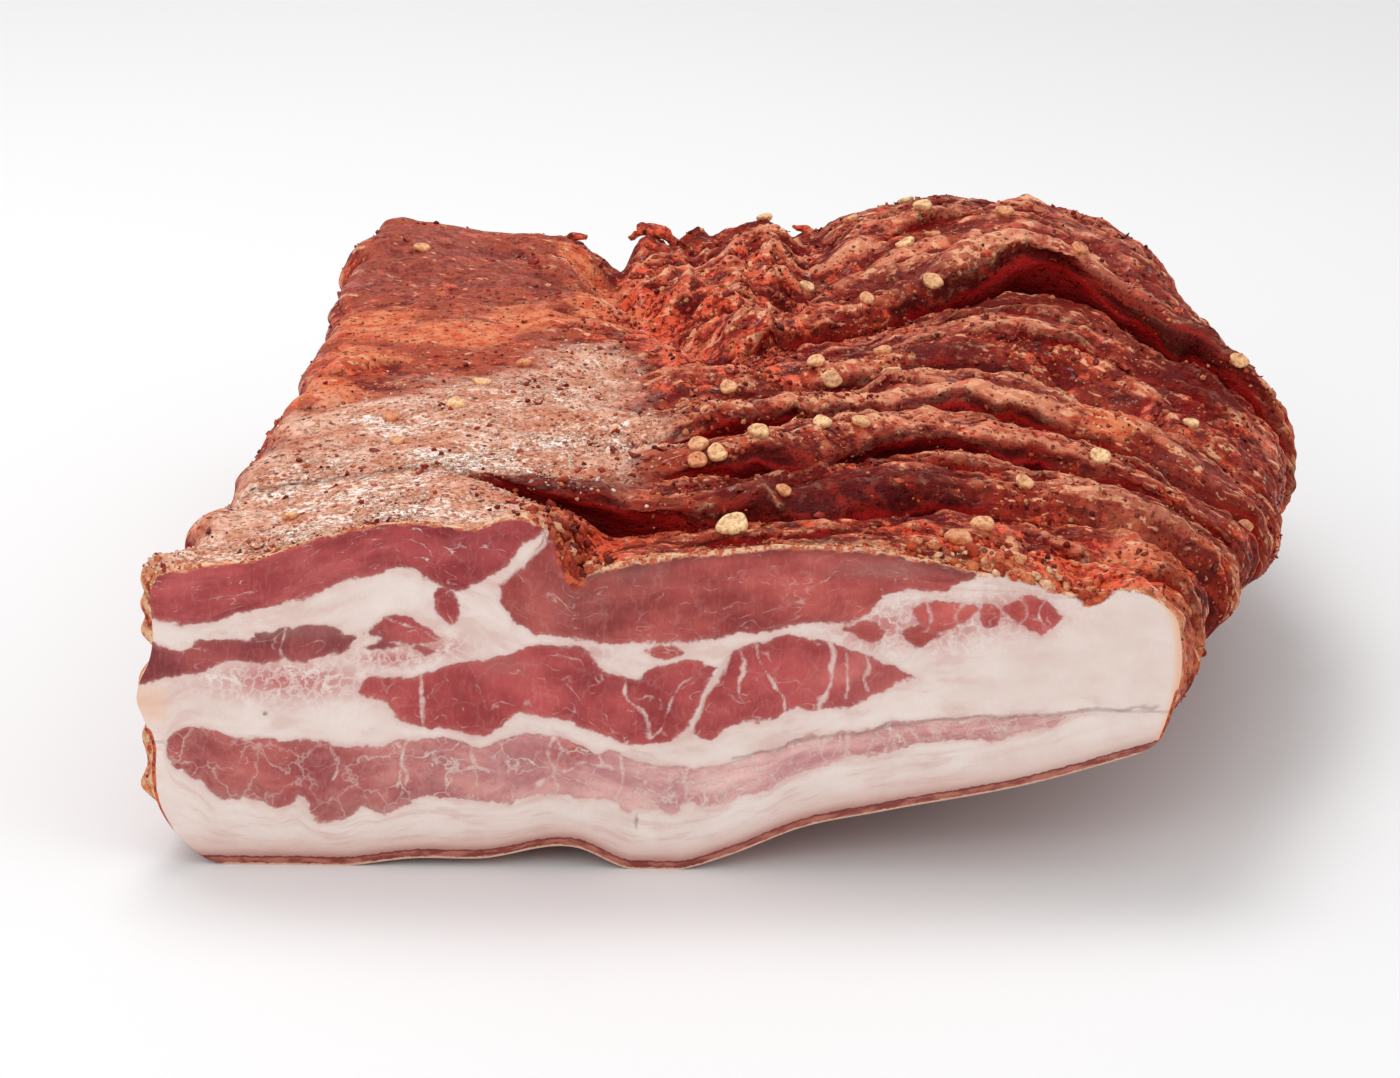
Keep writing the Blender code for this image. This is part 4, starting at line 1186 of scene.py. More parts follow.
def new_finish(name, **values):
    """A material with its Principled shader, and constants set on the shader's own sockets."""
    material = bpy.data.materials.new(name)
    material.use_nodes = True
    shader = material.node_tree.nodes["Principled BSDF"]
    for label, value in values.items():
        shader.inputs[label.replace("_", " ")].default_value = value
    return material, material.node_tree, shader


def dress(shader, colour, roughness, height, depth):
    """Wire a finish's colour, roughness and relief into its shader."""
    connect(colour, shader.inputs["Base Color"])
    connect(roughness, shader.inputs["Roughness"])
    inputs = {"Strength": 1.0, "Distance": depth, "Height": height}
    connect(Value(add_node(colour.tree, "ShaderNodeBump", inputs).outputs[0]), shader.inputs["Normal"])


def cut_finish(patch):
    """The fresh cut: lean and fat with ragged borders, veins, lace and rind."""
    finish, tree, shader = new_finish("cut_meat", IOR=1.4, Subsurface_Weight=0.22,
                                      Subsurface_Radius=(1.0, 0.4, 0.3), Subsurface_Scale=0.0014)
    cut, place = fields_of(tree, CUT_FIELDS), here(tree)
    flow = level_place(cut.along, cut.layer)
    wide, small = noise(place, 0.0055, 3), noise(place, 0.0016, 3, 0.6)
    drawn = noise(stretched(flow, 0.4, 1.0, 1.0), 0.0022, 3)
    bent = shifted(place, noise(place, 0.0045, 4, output="Color"), 0.008)

    def threads(size, end, *ways):
        inputs = {"Vector": stretched(bent, *ways), "Scale": 1 / size}
        net = add_node(tree, "ShaderNodeTexVoronoi", inputs, feature="DISTANCE_TO_EDGE")
        return 1.0 - step(Value(net.outputs["Distance"]), 0.0, end)

    # Bundles of fibres round the border of a muscle into lobes with notches of fat between them.
    notch = threads(0.0062, 0.24, 0.8, 1.0, 1.0) * cut.lobes * -1.1
    jagged = (around(small, 1.5) + around(drawn, 1.4)) * (1.0 - cut.lobes * 0.88)
    depth = cut.lean + (around(wide, 2.0) + jagged + notch)
    vein = share(cut.vein + (around(small, 1.1) + around(wide, 1.9)), -0.34, 0.50, 0.86)

    # Lace: a soft broken net of fat in the lowest muscle, and short faint flecks in the others.
    net = threads(0.0074, 0.055, 0.8, 1.0, 1.0) * patches(patch, place, 0.007, 0.58, 0.16)
    fine_net = threads(0.0042, 0.17, 1.0, 1.0, 0.55) * patches(patch, place, 0.008, 0.48, 0.16)
    lace = maths("ADD", net * 0.92, fine_net * (0.22 + cut.squared * 0.6), clamp=True)
    clots = patches(patch, bent, 0.0026, 0.16, 0.12) * (0.40 + cut.squared * 0.5)
    hair = noise(stretched(flow, 0.42, 1.0, 1.0), 0.0045, 2, 0.5)
    line = 1.0 - step(maths("ABSOLUTE", hair - 0.5), 0.002, 0.016)
    flecks = line * patches(patch, place, 0.0030, 0.36, 0.10)
    lace = greater(greater(lace, clots) * cut.laced, flecks * (0.42 + cut.flecked))

    # Lean: each muscle's own red, browner or brighter in patches, with fine fibres.
    own = field(tree, "lean_colour", "Color")
    mottle = noise(stretched(flow, 0.5, 1.0, 1.0), 0.0075, 4, 0.6)
    fibres = noise(stretched(place, 1.0, 1.0, 0.30), 0.0008, 2)
    darker, brighter = blend(1.0, own, (208, 168, 178), "MULTIPLY"), blend(0.22, own, (226, 118, 110))
    red = layered(blend(step(mottle, 0.30, 0.72), darker, brighter),
                  (share(fibres, 0.50, 0.74, 0.18), (206, 124, 116)),
                  ((1.0 - step(depth, 0.1, 1.3)) * 0.20, (196, 136, 128)),
                  (cut.greyed * 0.50, (144, 112, 104)),
                  (cut.browned * 0.75, (112, 44, 36)))

    # Fat: streaks along its layers, pinker by the rind, yellower by the crust, pink where lean shows through.
    streaks = noise(stretched(flow, 0.20, 1.0, 1.0), 0.0024, 4, 0.6)
    streaked = 1.0 - cut.plain * 0.8
    pink = cut.lacy * patches(patch, bent, 0.0046, 0.66, 0.07)
    cream = layered(blend(step(noise(place, 0.014, 3), 0.30, 0.70), (231, 216, 208), (223, 202, 193)),
                    (step(streaks, 0.50, 0.66) * (streaked * 0.42), (208, 166, 156)),
                    (step(streaks, 0.50, 0.34) * (streaked * 0.34), (236, 226, 218)),
                    (cut.near_rind, (202, 158, 146)),
                    (cut.by_rind, (150, 84, 72)),
                    (cut.peach, (234, 180, 140)),
                    (pink * (1.0 - threads(0.0030, 0.18, 1, 1, 1) * 0.6) * 0.95, (188, 100, 98)),
                    (share(depth, -1.8, -0.1, 0.34), (212, 168, 158)))
    fat = greater(1.0 - step(depth, -0.30, 0.36), greater(vein, lace))

    # Rind: a brown-pink band with a dark upper line and a pale dry lower lip.
    rind = cut.rind + around(small, 1.0)
    band = layered(blend(step(drawn, 0.4, 0.6), (132, 58, 48), (176, 106, 90)),
                   (step(rind, 2.0, 2.3), (212, 172, 150)),
                   (1.0 - step(rind, 0.60, 1.0), (112, 40, 34)))
    # Dried fat and spice along the upper rim.
    rim = 1.0 - step(cut.under_crust + (around(small, 2.6) + around(wide, 3.4)), 0.1, 0.8)
    colour = layered(blend(fat, red, cream),
                     (share(cut.nick + around(small, 0.7), 0.30, 0.95, 0.8), (134, 100, 94)),
                     (share(cut.seam + around(small, 0.8), -0.35, 0.30, 0.50), (150, 122, 116)),
                     (step(rind, 0.30, 0.6), band),
                     (rim * 0.9, blend(step(small, 0.40, 0.58), (196, 92, 58), (240, 196, 158))),
                     (step(cut.spiced + around(small, 0.8), 0.42, 0.72),
                      blend(step(small, 0.42, 0.6), (136, 26, 14), (204, 92, 46))))
    moist = 0.27 + noise(place, 0.003, 3) * 0.25
    dress(shader, colour, moist, fat * 0.28 + (fibres * 0.30 + drawn * 0.5), 0.0006)
    return finish


def crust_finish(patch, grain):
    """Dry chilli crust over dark lean: folds, dust, paste, grains, bloom and bare patches, with painted shade
    in its hollows, slits and roll fronts, and painted glints.
    """
    finish, tree, shader = new_finish("chilli_crust", IOR=1.45, Specular_IOR_Level=0.08, Coat_Roughness=0.16,
                                      Coat_IOR=1.4)
    skin, place = fields_of(tree, SKIN_FIELDS), here(tree)
    along = level_place(skin.along, skin.over)
    strands, hairs = noise(along, 0.0026, 4, 0.62), noise(along, 0.0011, 2, 0.5)
    mottle, spots = noise(place, 0.010, 4, 0.62), noise(place, 0.0034, 3, 0.65)
    speck = noise(stretched(place, 1.0, 0.8, 1.0), 0.0014, 4, 0.72)
    # Dust on the crowns, less the painted shade of the shaded places.
    zone = skin.dusty * (1.0 - skin.front) - skin.shaded

    # Cured lean under the spice, maroon, browner and redder in patches, with paler strands along the folds.
    # Over it dull dust on the crowns of the rolls, dried fat on the ridges, red paste in patches, and dark
    # red lean with painted shade in the hollows.
    crown = skin.crown + around(mottle, 2.6) + around(spots, 1.6) + zone
    ridge = skin.standing + around(strands, 2.2) + around(spots, 1.6) + zone * 0.8
    sunk = skin.standing * -1.0 + skin.raised * -0.40 + around(mottle, 0.7) + zone * -0.35
    paste = patches(patch, place, 0.0065, 0.26 + skin.paste * 0.74, 0.07)
    colour = layered(blend(step(mottle, 0.34, 0.62), (84, 16, 13), (142, 40, 26)),
                     (share(spots, 0.52, 0.68, 0.50), (108, 34, 32)),
                     (skin.left_part * 0.66, (188, 88, 60)),
                     (share(strands + around(hairs, 0.3), 0.50, 0.64, 0.55), (180, 66, 38)),
                     (share(crown, 0.35, 1.25, 0.72),
                      blend(step(hairs, 0.38, 0.56), (118, 38, 32), (204, 124, 100))),
                     (share(ridge, 0.45, 1.20, 0.66), (200, 92, 62)),
                     (share(ridge, 1.05, 1.80, 0.70), (228, 150, 116)),
                     # Painted shade: dark red in the hollows.
                     (share(sunk, 0.06, 0.50, 0.86), (102, 8, 6)),
                     (patches(patch, place, 0.0085, 0.24, 0.07) * 0.70, (138, 12, 14)),
                     (paste * 0.82,
                      blend(step(noise(place, 0.0018, 3), 0.34, 0.54), (172, 26, 15), (252, 104, 64))))

    # Bare orange fat and smooth purple lean.
    fatty = skin.fatty + around(mottle, 1.0) + around(strands, 0.7)
    fat_tone = layered(blend(step(noise(place, 0.0045, 4, 0.6), 0.34, 0.64), (208, 80, 46), (238, 142, 98)),
                       (share(strands, 0.52, 0.66, 0.4), (234, 164, 116)))
    # Salt and dried fat bloom: white and tan specks over pink and brown.
    cloud = skin.bloom * (0.42 + (spots + around(mottle, 1.2)) * 1.4)
    ground = layered(blend(step(mottle, 0.36, 0.62), (216, 142, 112), (246, 200, 176)),
                     (share(speck, 0.50, 0.41, 0.66), (150, 94, 72)),
                     (share(strands + around(hairs, 0.4), 0.54, 0.66, 0.4), (212, 120, 84)))
    cover = 0.765 - (cloud + around(spots, 1.0)) * 0.25
    specks = step(speck, cover - 0.05, cover + 0.05)
    # Painted highlights: small pale glints on what stands out.
    painted_glint = share(hairs + skin.standing * 0.10, 0.63, 0.72, 0.85) * step(mottle, 0.36, 0.56)
    colour = layered(colour,
                     (share(fatty, 0.32, 0.72, 0.88), fat_tone),
                     (skin.smooth_lean * 0.80, blend(step(spots, 0.36, 0.64), (120, 46, 40), (176, 90, 74))),
                     (share(cloud, 0.06, 0.40, 0.92), ground),
                     (specks * step(cloud, 0.05, 0.30),
                      blend(step(mottle, 0.42, 0.60), (246, 208, 182), (253, 244, 236))),
                     (painted_glint, (240, 176, 136)))

    # Grains of spice.
    coarse, fine = grains(grain, place, 0.0017, 0.22), grains(grain, place, 0.0009, 0.36)
    for kind, strength in ((fine, 0.62), (coarse, 0.74)):
        ramp = add_node(tree, "ShaderNodeValToRGB", {"Fac": kind["Pick"]})
        ramp.color_ramp.interpolation = "CONSTANT"
        stops = ramp.color_ramp.elements
        stops[0].color, stops[1].position, stops[1].color = srgb(64, 12, 9), 0.34, srgb(156, 30, 16)
        stops.new(0.60).color, stops.new(0.80).color = srgb(204, 88, 48), srgb(236, 176, 120)
        colour = blend(kind["Mask"] * (strength - skin.smooth_lean * 0.4), colour, Value(ramp.outputs[0]))

    # Painted shade: the shaded places and the fronts of the rolls are darkened, and the slits darker still.
    # The rim is dried fat.
    shaded = skin.shaded + around(spots, 0.8) + around(strands, 0.8)
    front = skin.front + around(spots, 1.2) + around(strands, 1.2) + zone * -0.35
    inside = skin.inside + around(strands, 0.7)
    colour = layered(colour,
                     (share(shaded, 0.30, 0.90, 0.84), (96, 14, 12)),
                     (share(front, 0.22, 0.72, 0.88),
                      blend(step(strands, 0.46, 0.62), (76, 8, 8), (140, 32, 22))),
                     (share(inside, 0.20, 0.60, 0.92), (150, 14, 12)),
                     (share(inside, 0.50, 0.92, 0.90), (88, 6, 6)),
                     (skin.rim * step(spots, 0.36, 0.50),
                      blend(step(spots, 0.42, 0.6), (216, 118, 70), (242, 200, 160))))
    moist = share(noise(place, 0.0022, 2), 0.56, 0.68, 0.55) + paste * 0.25
    moist = moist * (1.0 - step(inside + front, 0.0, 0.4))
    connect(moist * (1.0 - step(skin.bloom, 0.1, 0.6)), shader.inputs["Coat Weight"])
    relief = strands * 1.6 + speck * 0.7 + hairs * 0.8 + coarse["Height"] * 2.4 + fine["Height"] * 1.2
    dress(shader, colour, 0.42 + spots * 0.36, relief, 0.0009)
    return finish


def rind_finish(patch, grain):
    """Tough brown skin, pored and wrinkled, with rubbed paste."""
    finish, tree, shader = new_finish("rind", IOR=1.45)
    place = here(tree)
    mottle, fine = noise(place, 0.014, 5, 0.6), grains(grain, place, 0.0022, 0.3)
    colour = layered(blend(step(mottle, 0.3, 0.7), (122, 66, 48), (178, 112, 84)),
                     (patches(patch, place, 0.012, 0.42) * 0.6, (142, 44, 28)),
                     (fine["Mask"] * 0.55, (84, 40, 32)))
    crease = noise(stretched(place, 1.0, 0.35, 1.0), 0.003, 4, 0.65)
    dress(shader, colour, 0.42 + mottle * 0.3, crease * 0.8 - fine["Height"] * 1.6, 0.0006)
    return finish


def picked_finish(name, stops, gloss, size, patch, **values):
    """A finish for scattered small things: each takes its own tint, a little mottled."""
    finish, tree, shader = new_finish(name, IOR=1.45, **values)
    ramp = add_node(tree, "ShaderNodeValToRGB", {"Fac": field(tree, "pick")})
    first, last = ramp.color_ramp.elements
    first.color, last.color = srgb(*stops[0]), srgb(*stops[-1])
    for number, tint in enumerate(stops[1:-1], 1):
        ramp.color_ramp.elements.new(number / (len(stops) - 1)).color = srgb(*tint)
    place, tint = here(tree), Value(ramp.outputs[0])
    shade = blend(0.75, tint, (176, 120, 92), "MULTIPLY")
    colour = blend(patches(patch, place, size, 0.42, 0.12), tint, shade)
    dress(shader, colour, gloss + noise(place, size, 2) * 0.2, noise(place, size * 0.6, 3), 0.0002)
    return finish


def floor_finish():
    """Plain pale floor."""
    finish, tree, shader = new_finish("pale_floor", Roughness=0.6)
    colour = blend(noise(here(tree), 0.4, 2), (0.86, 0.86, 0.87, 1), (0.90, 0.90, 0.90, 1))
    connect(colour, shader.inputs["Base Color"])
    return finish


# Where the crust changes colour: place across and back, reach across and back, in millimetres, and strength.
ZONES = {
    "bloom": ((12, 8, 22, 16, 0.95), (35, 14, 24, 22, 0.95), (60, 18, 24, 20, 0.9), (47, 42, 26, 24, 0.95),
        (72, 62, 26, 26, 1), (92, 80, 22, 22, 0.85), (106, 72, 14, 14, 0.9), (86, 115, 26, 24, 0.58),
        (30, 55, 18, 30, 0.8), (55, 95, 24, 22, 0.8), (104, 140, 12, 20, 0.5)),
    "dusty": ((205, 236, 24, 8, 0.9), (190, 118, 16, 8, 0.9), (187, 34, 18, 10, 0.9), (202, 54, 16, 8, 0.9),
        (200, 78, 22, 8, 0.8), (173, 103, 14, 8, 0.8), (192, 240, 38, 14, 1.2), (240, 262, 18, 18, 0.7),
        (205, 176, 26, 8, 0.7), (196, 122, 22, 8, 0.7), (120, 40, 14, 8, 0.6), (262, 135, 10, 30, 0.5),
        (150, 262, 14, 20, 0.5), (206, 238, 20, 10, 0.8), (174, 92, 18, 8, 1), (192, 122, 20, 8, 0.6)),
    # The shaded places are painted shade: dark red laid where the crust lies in shadow.
    "shaded": ((262, 175, 14, 26, 0.9), (150, 44, 32, 14, 1.3), (148, 30, 30, 7, 1.4),
        (256, 150, 14, 22, 1), (262, 150, 12, 20, 0.8), (184, 150, 30, 8, 1.1), (215, 205, 40, 10, 0.9),
        (165, 70, 26, 6, 0.8), (225, 290, 20, 10, 0.5), (86, 44, 22, 6, 0.9)),
    "smooth_lean": ((70, 262, 30, 34, 1), (90, 236, 22, 20, 0.8), (55, 236, 16, 22, 0.9),
        (230, 185, 30, 12, 0.7), (250, 215, 14, 30, 0.6), (226, 52, 20, 18, 0.7), (245, 85, 16, 18, 0.65),
        (206, 70, 20, 7, 0.6), (232, 250, 16, 14, 0.6), (190, 214, 30, 8, 0.6), (214, 128, 20, 10, 0.5)),
    "fatty": ((128, 172, 8, 30, 0.75), (141, 137, 10, 10, 0.7), (52, 190, 18, 16, 1), (75, 180, 22, 14, 1),
        (98, 192, 20, 18, 1), (114, 220, 12, 30, 0.9), (38, 125, 14, 22, 0.9), (50, 155, 14, 18, 0.8),
        (230, 104, 16, 9, 1), (222, 30, 12, 26, 0.8), (116, 268, 12, 30, 0.9), (160, 190, 14, 28, 0.62),
        (150, 250, 14, 22, 0.45), (36, 98, 12, 14, 0.6)),
    "paste": ((124, 215, 7, 40, 1), (130, 165, 9, 26, 1), (140, 140, 12, 14, 1), (150, 215, 20, 60, 0.3),
        (92, 12, 10, 20, 1), (80, 30, 16, 12, 0.9), (190, 12, 22, 14, 0.9), (210, 12, 12, 16, 0.9),
        (26, 165, 12, 50, 0.5)),
}
ZONES_WANDER = (0.02, 0.006, 0.008)
LEFT_PART_ENDS = (0.095, 0.135)
STRANDS_END = (0.012, 0.06)


def zones(fields):
    """Shares of the kinds of crust, and of painted shade, for each point of the skin."""
    x, back, across, up = (fields[name] for name in ("x", "back", "across", "up"))
    on_top = ease(fields["upward"], 0.2, 0.8)
    size, aside, along = ZONES_WANDER
    moved_x = x + aside * lumps(flat(x, back), size, 80)
    moved_back = back + along * lumps(flat(x, back), size, 81)
    shares = {}
    for name, spots in ZONES.items():
        in_metres = [[way / 1000 for way in spot[:4]] + [spot[4]] for spot in spots]
        shares[name] = blobs(moved_x, moved_back, in_metres) * on_top
    strands = ease(across, 0.90, 0.985) * ease(up, 0.1, 0.3) * (1 - ease(back, *STRANDS_END))
    left_edge = (1 - ease(across, 0.0, 0.05)) * ease(up, 0.1, 0.4)
    shares["fatty"] = np.maximum(shares["fatty"], 0.55 * strands)
    shares["paste"] = np.maximum(shares["paste"], 0.12 * left_edge)
    shares["left_part"] = (1 - ease(moved_x, *LEFT_PART_ENDS)) * (0.2 + 0.8 * on_top)
    return shares


# Pieces.

def slice_grid(array, rows, columns):
    """The chosen rows and columns of a grid, going round past its last column."""
    return np.take(array[rows], columns, axis=1, mode="wrap")


def add_skin(points, fields, crust, rind):
    """The skin in patches that share their edges: crust left and right, both flanks, and the rind."""
    normals = grid_normals(points, True)
    before_end = 1 - ease(fields["back"], LENGTH - 0.024, LENGTH - 0.006)
    standing = np.clip(standing_out(points, normals, 4) * 2.2, -1.5, 1.5) * before_end
    fields["standing"] = standing + 0.6 * lumps(points, GRAIN_SIZE, 90) * (1 - before_end)
    fields["raised"] = np.clip(standing_out(points, normals, 14) * 0.8, -1.5, 1.5) * before_end
    wide, high = RING_POINTS[:2]
    half = int(0.45 * wide)
    patches_of_skin = (("crust_left", 0, half, 1), ("crust_right", half, wide, 1),
                       ("flank_right", wide, wide + high, 1),
                       ("flank_left", 2 * wide + high, 2 * wide + 2 * high, 1),
                       ("rind", wide + high, 2 * wide + high, COARSE))
    for name, first, last, every in patches_of_skin:
        rows, columns = np.arange(0, len(points), every), np.arange(first, last + 1, every)
        finish, slot = (rind, "rind") if name == "rind" else (crust, "chilli_crust")
        faces = grid_faces(len(rows), len(columns))
        piece = add_mesh(name, slice_grid(points, rows, columns), faces, finish,
                         slice_grid(normals, rows, columns))
        paint(piece, {label: slice_grid(fields[label], rows, columns) for label in SKIN_FIELDS})
    return normals


def add_end(points, crust):
    """The far end, crusted like the rest."""
    patch = end_patch(points[-1])
    faces, normals = facing(patch, 1)
    piece = add_mesh("far_end", patch, faces, crust, normals)
    creases = side_creases(patch[..., 0] + 0.5, patch[..., 2]) / MM
    detail, broad = lumps(patch, GRAIN_SIZE, 90), lumps(patch, END_LUMPS[0], 92)
    paint(piece, {"standing": 0.5 * detail + 0.5 * creases, "raised": 0.4 * creases,
                  "crown": 0.4 + 0.6 * broad, "paste": 0.12 + 0.3 * ease(broad, 0, 1),
                  "along": patch[..., 0], "over": patch[..., 2]})
    return patch, normals


def add_cut(finish):
    """The fresh cut with its marbling."""
    grid = cut_grid()
    across, height = grid[..., 0] / MM, grid[..., 2] / MM
    fields, lean_colour = marbling(across, height)
    under_crust = smooth_line(CUT_TOP)(grid[..., 0]) / MM - height
    over_rind = height - np.maximum(smooth_line(CUT_BOTTOM)(grid[..., 0]), 0) / MM
    rows, columns = grid.shape[:2]
    u, v = np.linspace(0, 1, columns)[None, :], np.linspace(0, 1, rows)[:, None]
    from_left, from_right = u * CUT_SPAN, (1 - u) * CUT_SPAN
    in_from_edge = np.minimum(np.minimum(u, 1 - u) * CUT_SPAN, np.minimum(v, 1 - v) * CUT_RISE)
    lowest = 1 - ease(height - smooth_line(LEAN_BANDS[LOWEST_MUSCLE][1])(across), 0.0, 1.0)
    laced = (0.10 + 0.90 * lowest) * ease(fields["lean"], -0.5, 0.8)
    pit = hump(across - PIT_PLACE, 4.5) * (1 - ease(under_crust, 1.0, 7.0))
    right_edge = hump(across - 205, 5) * (1 - ease(under_crust, 0.6, 4.0))
    notch = within(height, 30, 33, 42, 46, 1 - ease(from_right, 0.4, 1.8))
    left_wrap = (1 - ease(from_left, 0.3, 2.2)) * (1 - ease(height, 30, 33)) * ease(height, 5, 10)
    fields.update({
        "laced": laced * (0.5 + 0.5 * ease(across, 42, 62)),
        "squared": ease(across, 95, 130) * lowest,
        "flecked": 0.6 * ease(fields["layer"] / LAYER_THICKNESS, 3.1, 3.4) * (1 - ease(across, 60, 85)),
        "browned": (1 - ease(under_crust, 0.4, 3.4)) * ease(across, 80, 100),
        "near_rind": 0.9 * (1 - ease(over_rind, 0.6, 8.5)) * (1 - 0.35 * ease(across, 150, 200)),
        "by_rind": 0.85 * (1 - ease(over_rind, 1.0, 4.2)) * (1 - 0.45 * ease(across, 150, 200)),
        "plain": ease(across, 170, 190) * (1 - ease(fields["lean"], -6, -1)),
        "peach": np.maximum(0.8 * (1 - ease(from_right, 0.6, 3.2)) * ease(height, 26, 34),
                            within(height, 31, 35, 39, 43, 0.45 * (1 - ease(across, 1.0, 6.0)))),
        "rind": RIND_THICKNESS - over_rind,
        "under_crust": under_crust - within(across, 92, 100, 150, 175, 0.5),
        "spiced": np.maximum(np.maximum(pit, right_edge), np.maximum(notch, left_wrap))})
    proud = 0.22 * ease(-fields["lean"], -0.4, 0.6)
    proud = proud + 0.12 * lumps(grid, 0.011, 95) + 0.05 * lumps(grid, 0.003, 96)
    grid[..., 1] -= proud * ease(in_from_edge, 0.0, 1.6) * MM
    faces, normals = facing(grid, -1)
    piece = add_mesh("cut_face", grid, faces, finish, normals)
    paint(piece, fields)
    paint(piece, {"lean_colour": lean_colour}, "FLOAT_COLOR", "color")


# What is strewn: how many, least and greatest size, how rarely large, flatness, tilt, and share standing out.
SPRINKLED = {"spice_crumbs": (4600, 0.0005, 0.0018, 2.4, 0.8, 0.3, 0.12),
             "chilli_flakes": (1000, 0.0012, 0.0036, 2.0, 1.0, 0.25, 0.03),
             "rim_crumbs": (560, 0.0004, 0.0013, 2.2, 0.6, 0.4, 0.05),
             "pit_crumbs": (240, 0.0008, 0.0034, 2.2, 0.6, 0.8, 0.22),
             "golden_crumbs": (150, 0.0008, 0.0044, 2.0, 0.6, 0.6, 0.18),
             "salt_crumbs": (2400, 0.0004, 0.0013, 1.6, 0.7, 0.3, 0.12)}
SEED_TINTS = ((226, 146, 98), (242, 188, 134), (248, 210, 156), (232, 162, 110))
SPICE_TINTS = ((82, 18, 12), (134, 34, 20), (168, 56, 32), (196, 96, 60), (224, 156, 106))
GOLD_TINTS = ((158, 40, 20), (204, 84, 42), (218, 124, 76), (228, 158, 114), (236, 198, 158))
SALT_TINTS = ((196, 142, 112), (226, 190, 164), (240, 228, 218))
FLAKE_TINTS = ((96, 16, 10), (142, 26, 15), (176, 50, 26), (206, 98, 54))


def straight(ways):
    """Directions brought to a length of one."""
    return ways / np.linalg.norm(ways, axis=1, keepdims=True)


def add_seeds(points, normals, draw, patch):
    """The chilli seeds, lying nearly flat on the crust."""
    places, ways = seed_places(points, normals)
    across = np.linspace(*SEED_ACROSS, len(places))
    across[:len(SEEDS_ON_TOP)] = [size * MM for _, _, size in SEEDS_ON_TOP]
    longer = draw.uniform(1.0, SEED_LONGER, len(places))
    sizes = np.stack([across * longer, across, across * 0.9], -1)
    ways = straight(straight(ways) + draw.uniform(-0.25, 0.25, ways.shape))
    finish = picked_finish("chilli_seed", SEED_TINTS, 0.32, 0.0012, patch, Subsurface_Weight=0.15,
                           Subsurface_Radius=(1.0, 0.6, 0.3), Subsurface_Scale=0.001)
    shapes = [seed_shape(draw) for _ in range(5)]
    scattered("chilli_seeds", shapes, places + SEEDS_OUT * ways, ways, sizes, draw, finish)


def sprinkle(name, shapes, weight, finish, points, out, draw):
    """Small things strewn over the skin, more of them where the weight is greater."""
    count, least, most, rarely, flatness, tilt, proud = SPRINKLED[name]
    chosen = draw.choice(len(points), count, p=weight / weight.sum())
    across = least + (most - least) * draw.uniform(0, 1, count)**rarely
    sizes = across[:, None] * np.stack([np.ones(count), draw.uniform(0.65, 1.1, count),
                                        flatness * draw.uniform(0.8, 1.2, count)], -1)
    ways = straight(out[chosen] + draw.uniform(-tilt, tilt, (count, 3)))
    places = points[chosen] + (proud * across)[:, None] * out[chosen]
    scattered(name, shapes, places, ways, sizes, draw, finish)


def add_torn_edge(points, crust):
    """The torn strips, each from the highest point near its root."""
    strips = []
    for (x, back), *rest in TORN_STRIPS:
        near = np.nonzero((np.abs(points[:, :2] - (x, back)).max(1) < 0.002) & (points[:, 2] > 0.04))[0]
        strips.append(torn_strip(points[near[np.argmax(points[near, 2])]] - (0, 0, 0.0015), *rest))
    bits = np.concatenate([strip[0] for strip in strips])
    starts = np.cumsum([0] + [len(strip[0]) for strip in strips])
    faces = np.concatenate([strip[1] + start for strip, start in zip(strips, starts)])
    piece = add_mesh("torn_edge", bits, faces, crust)
    lumpy = lumps(bits, 0.003, 99)
    paint(piece, {"standing": 0.9 * lumpy, "paste": 0.5 + 0 * lumpy, "along": bits[:, 0], "over": bits[:, 2]})


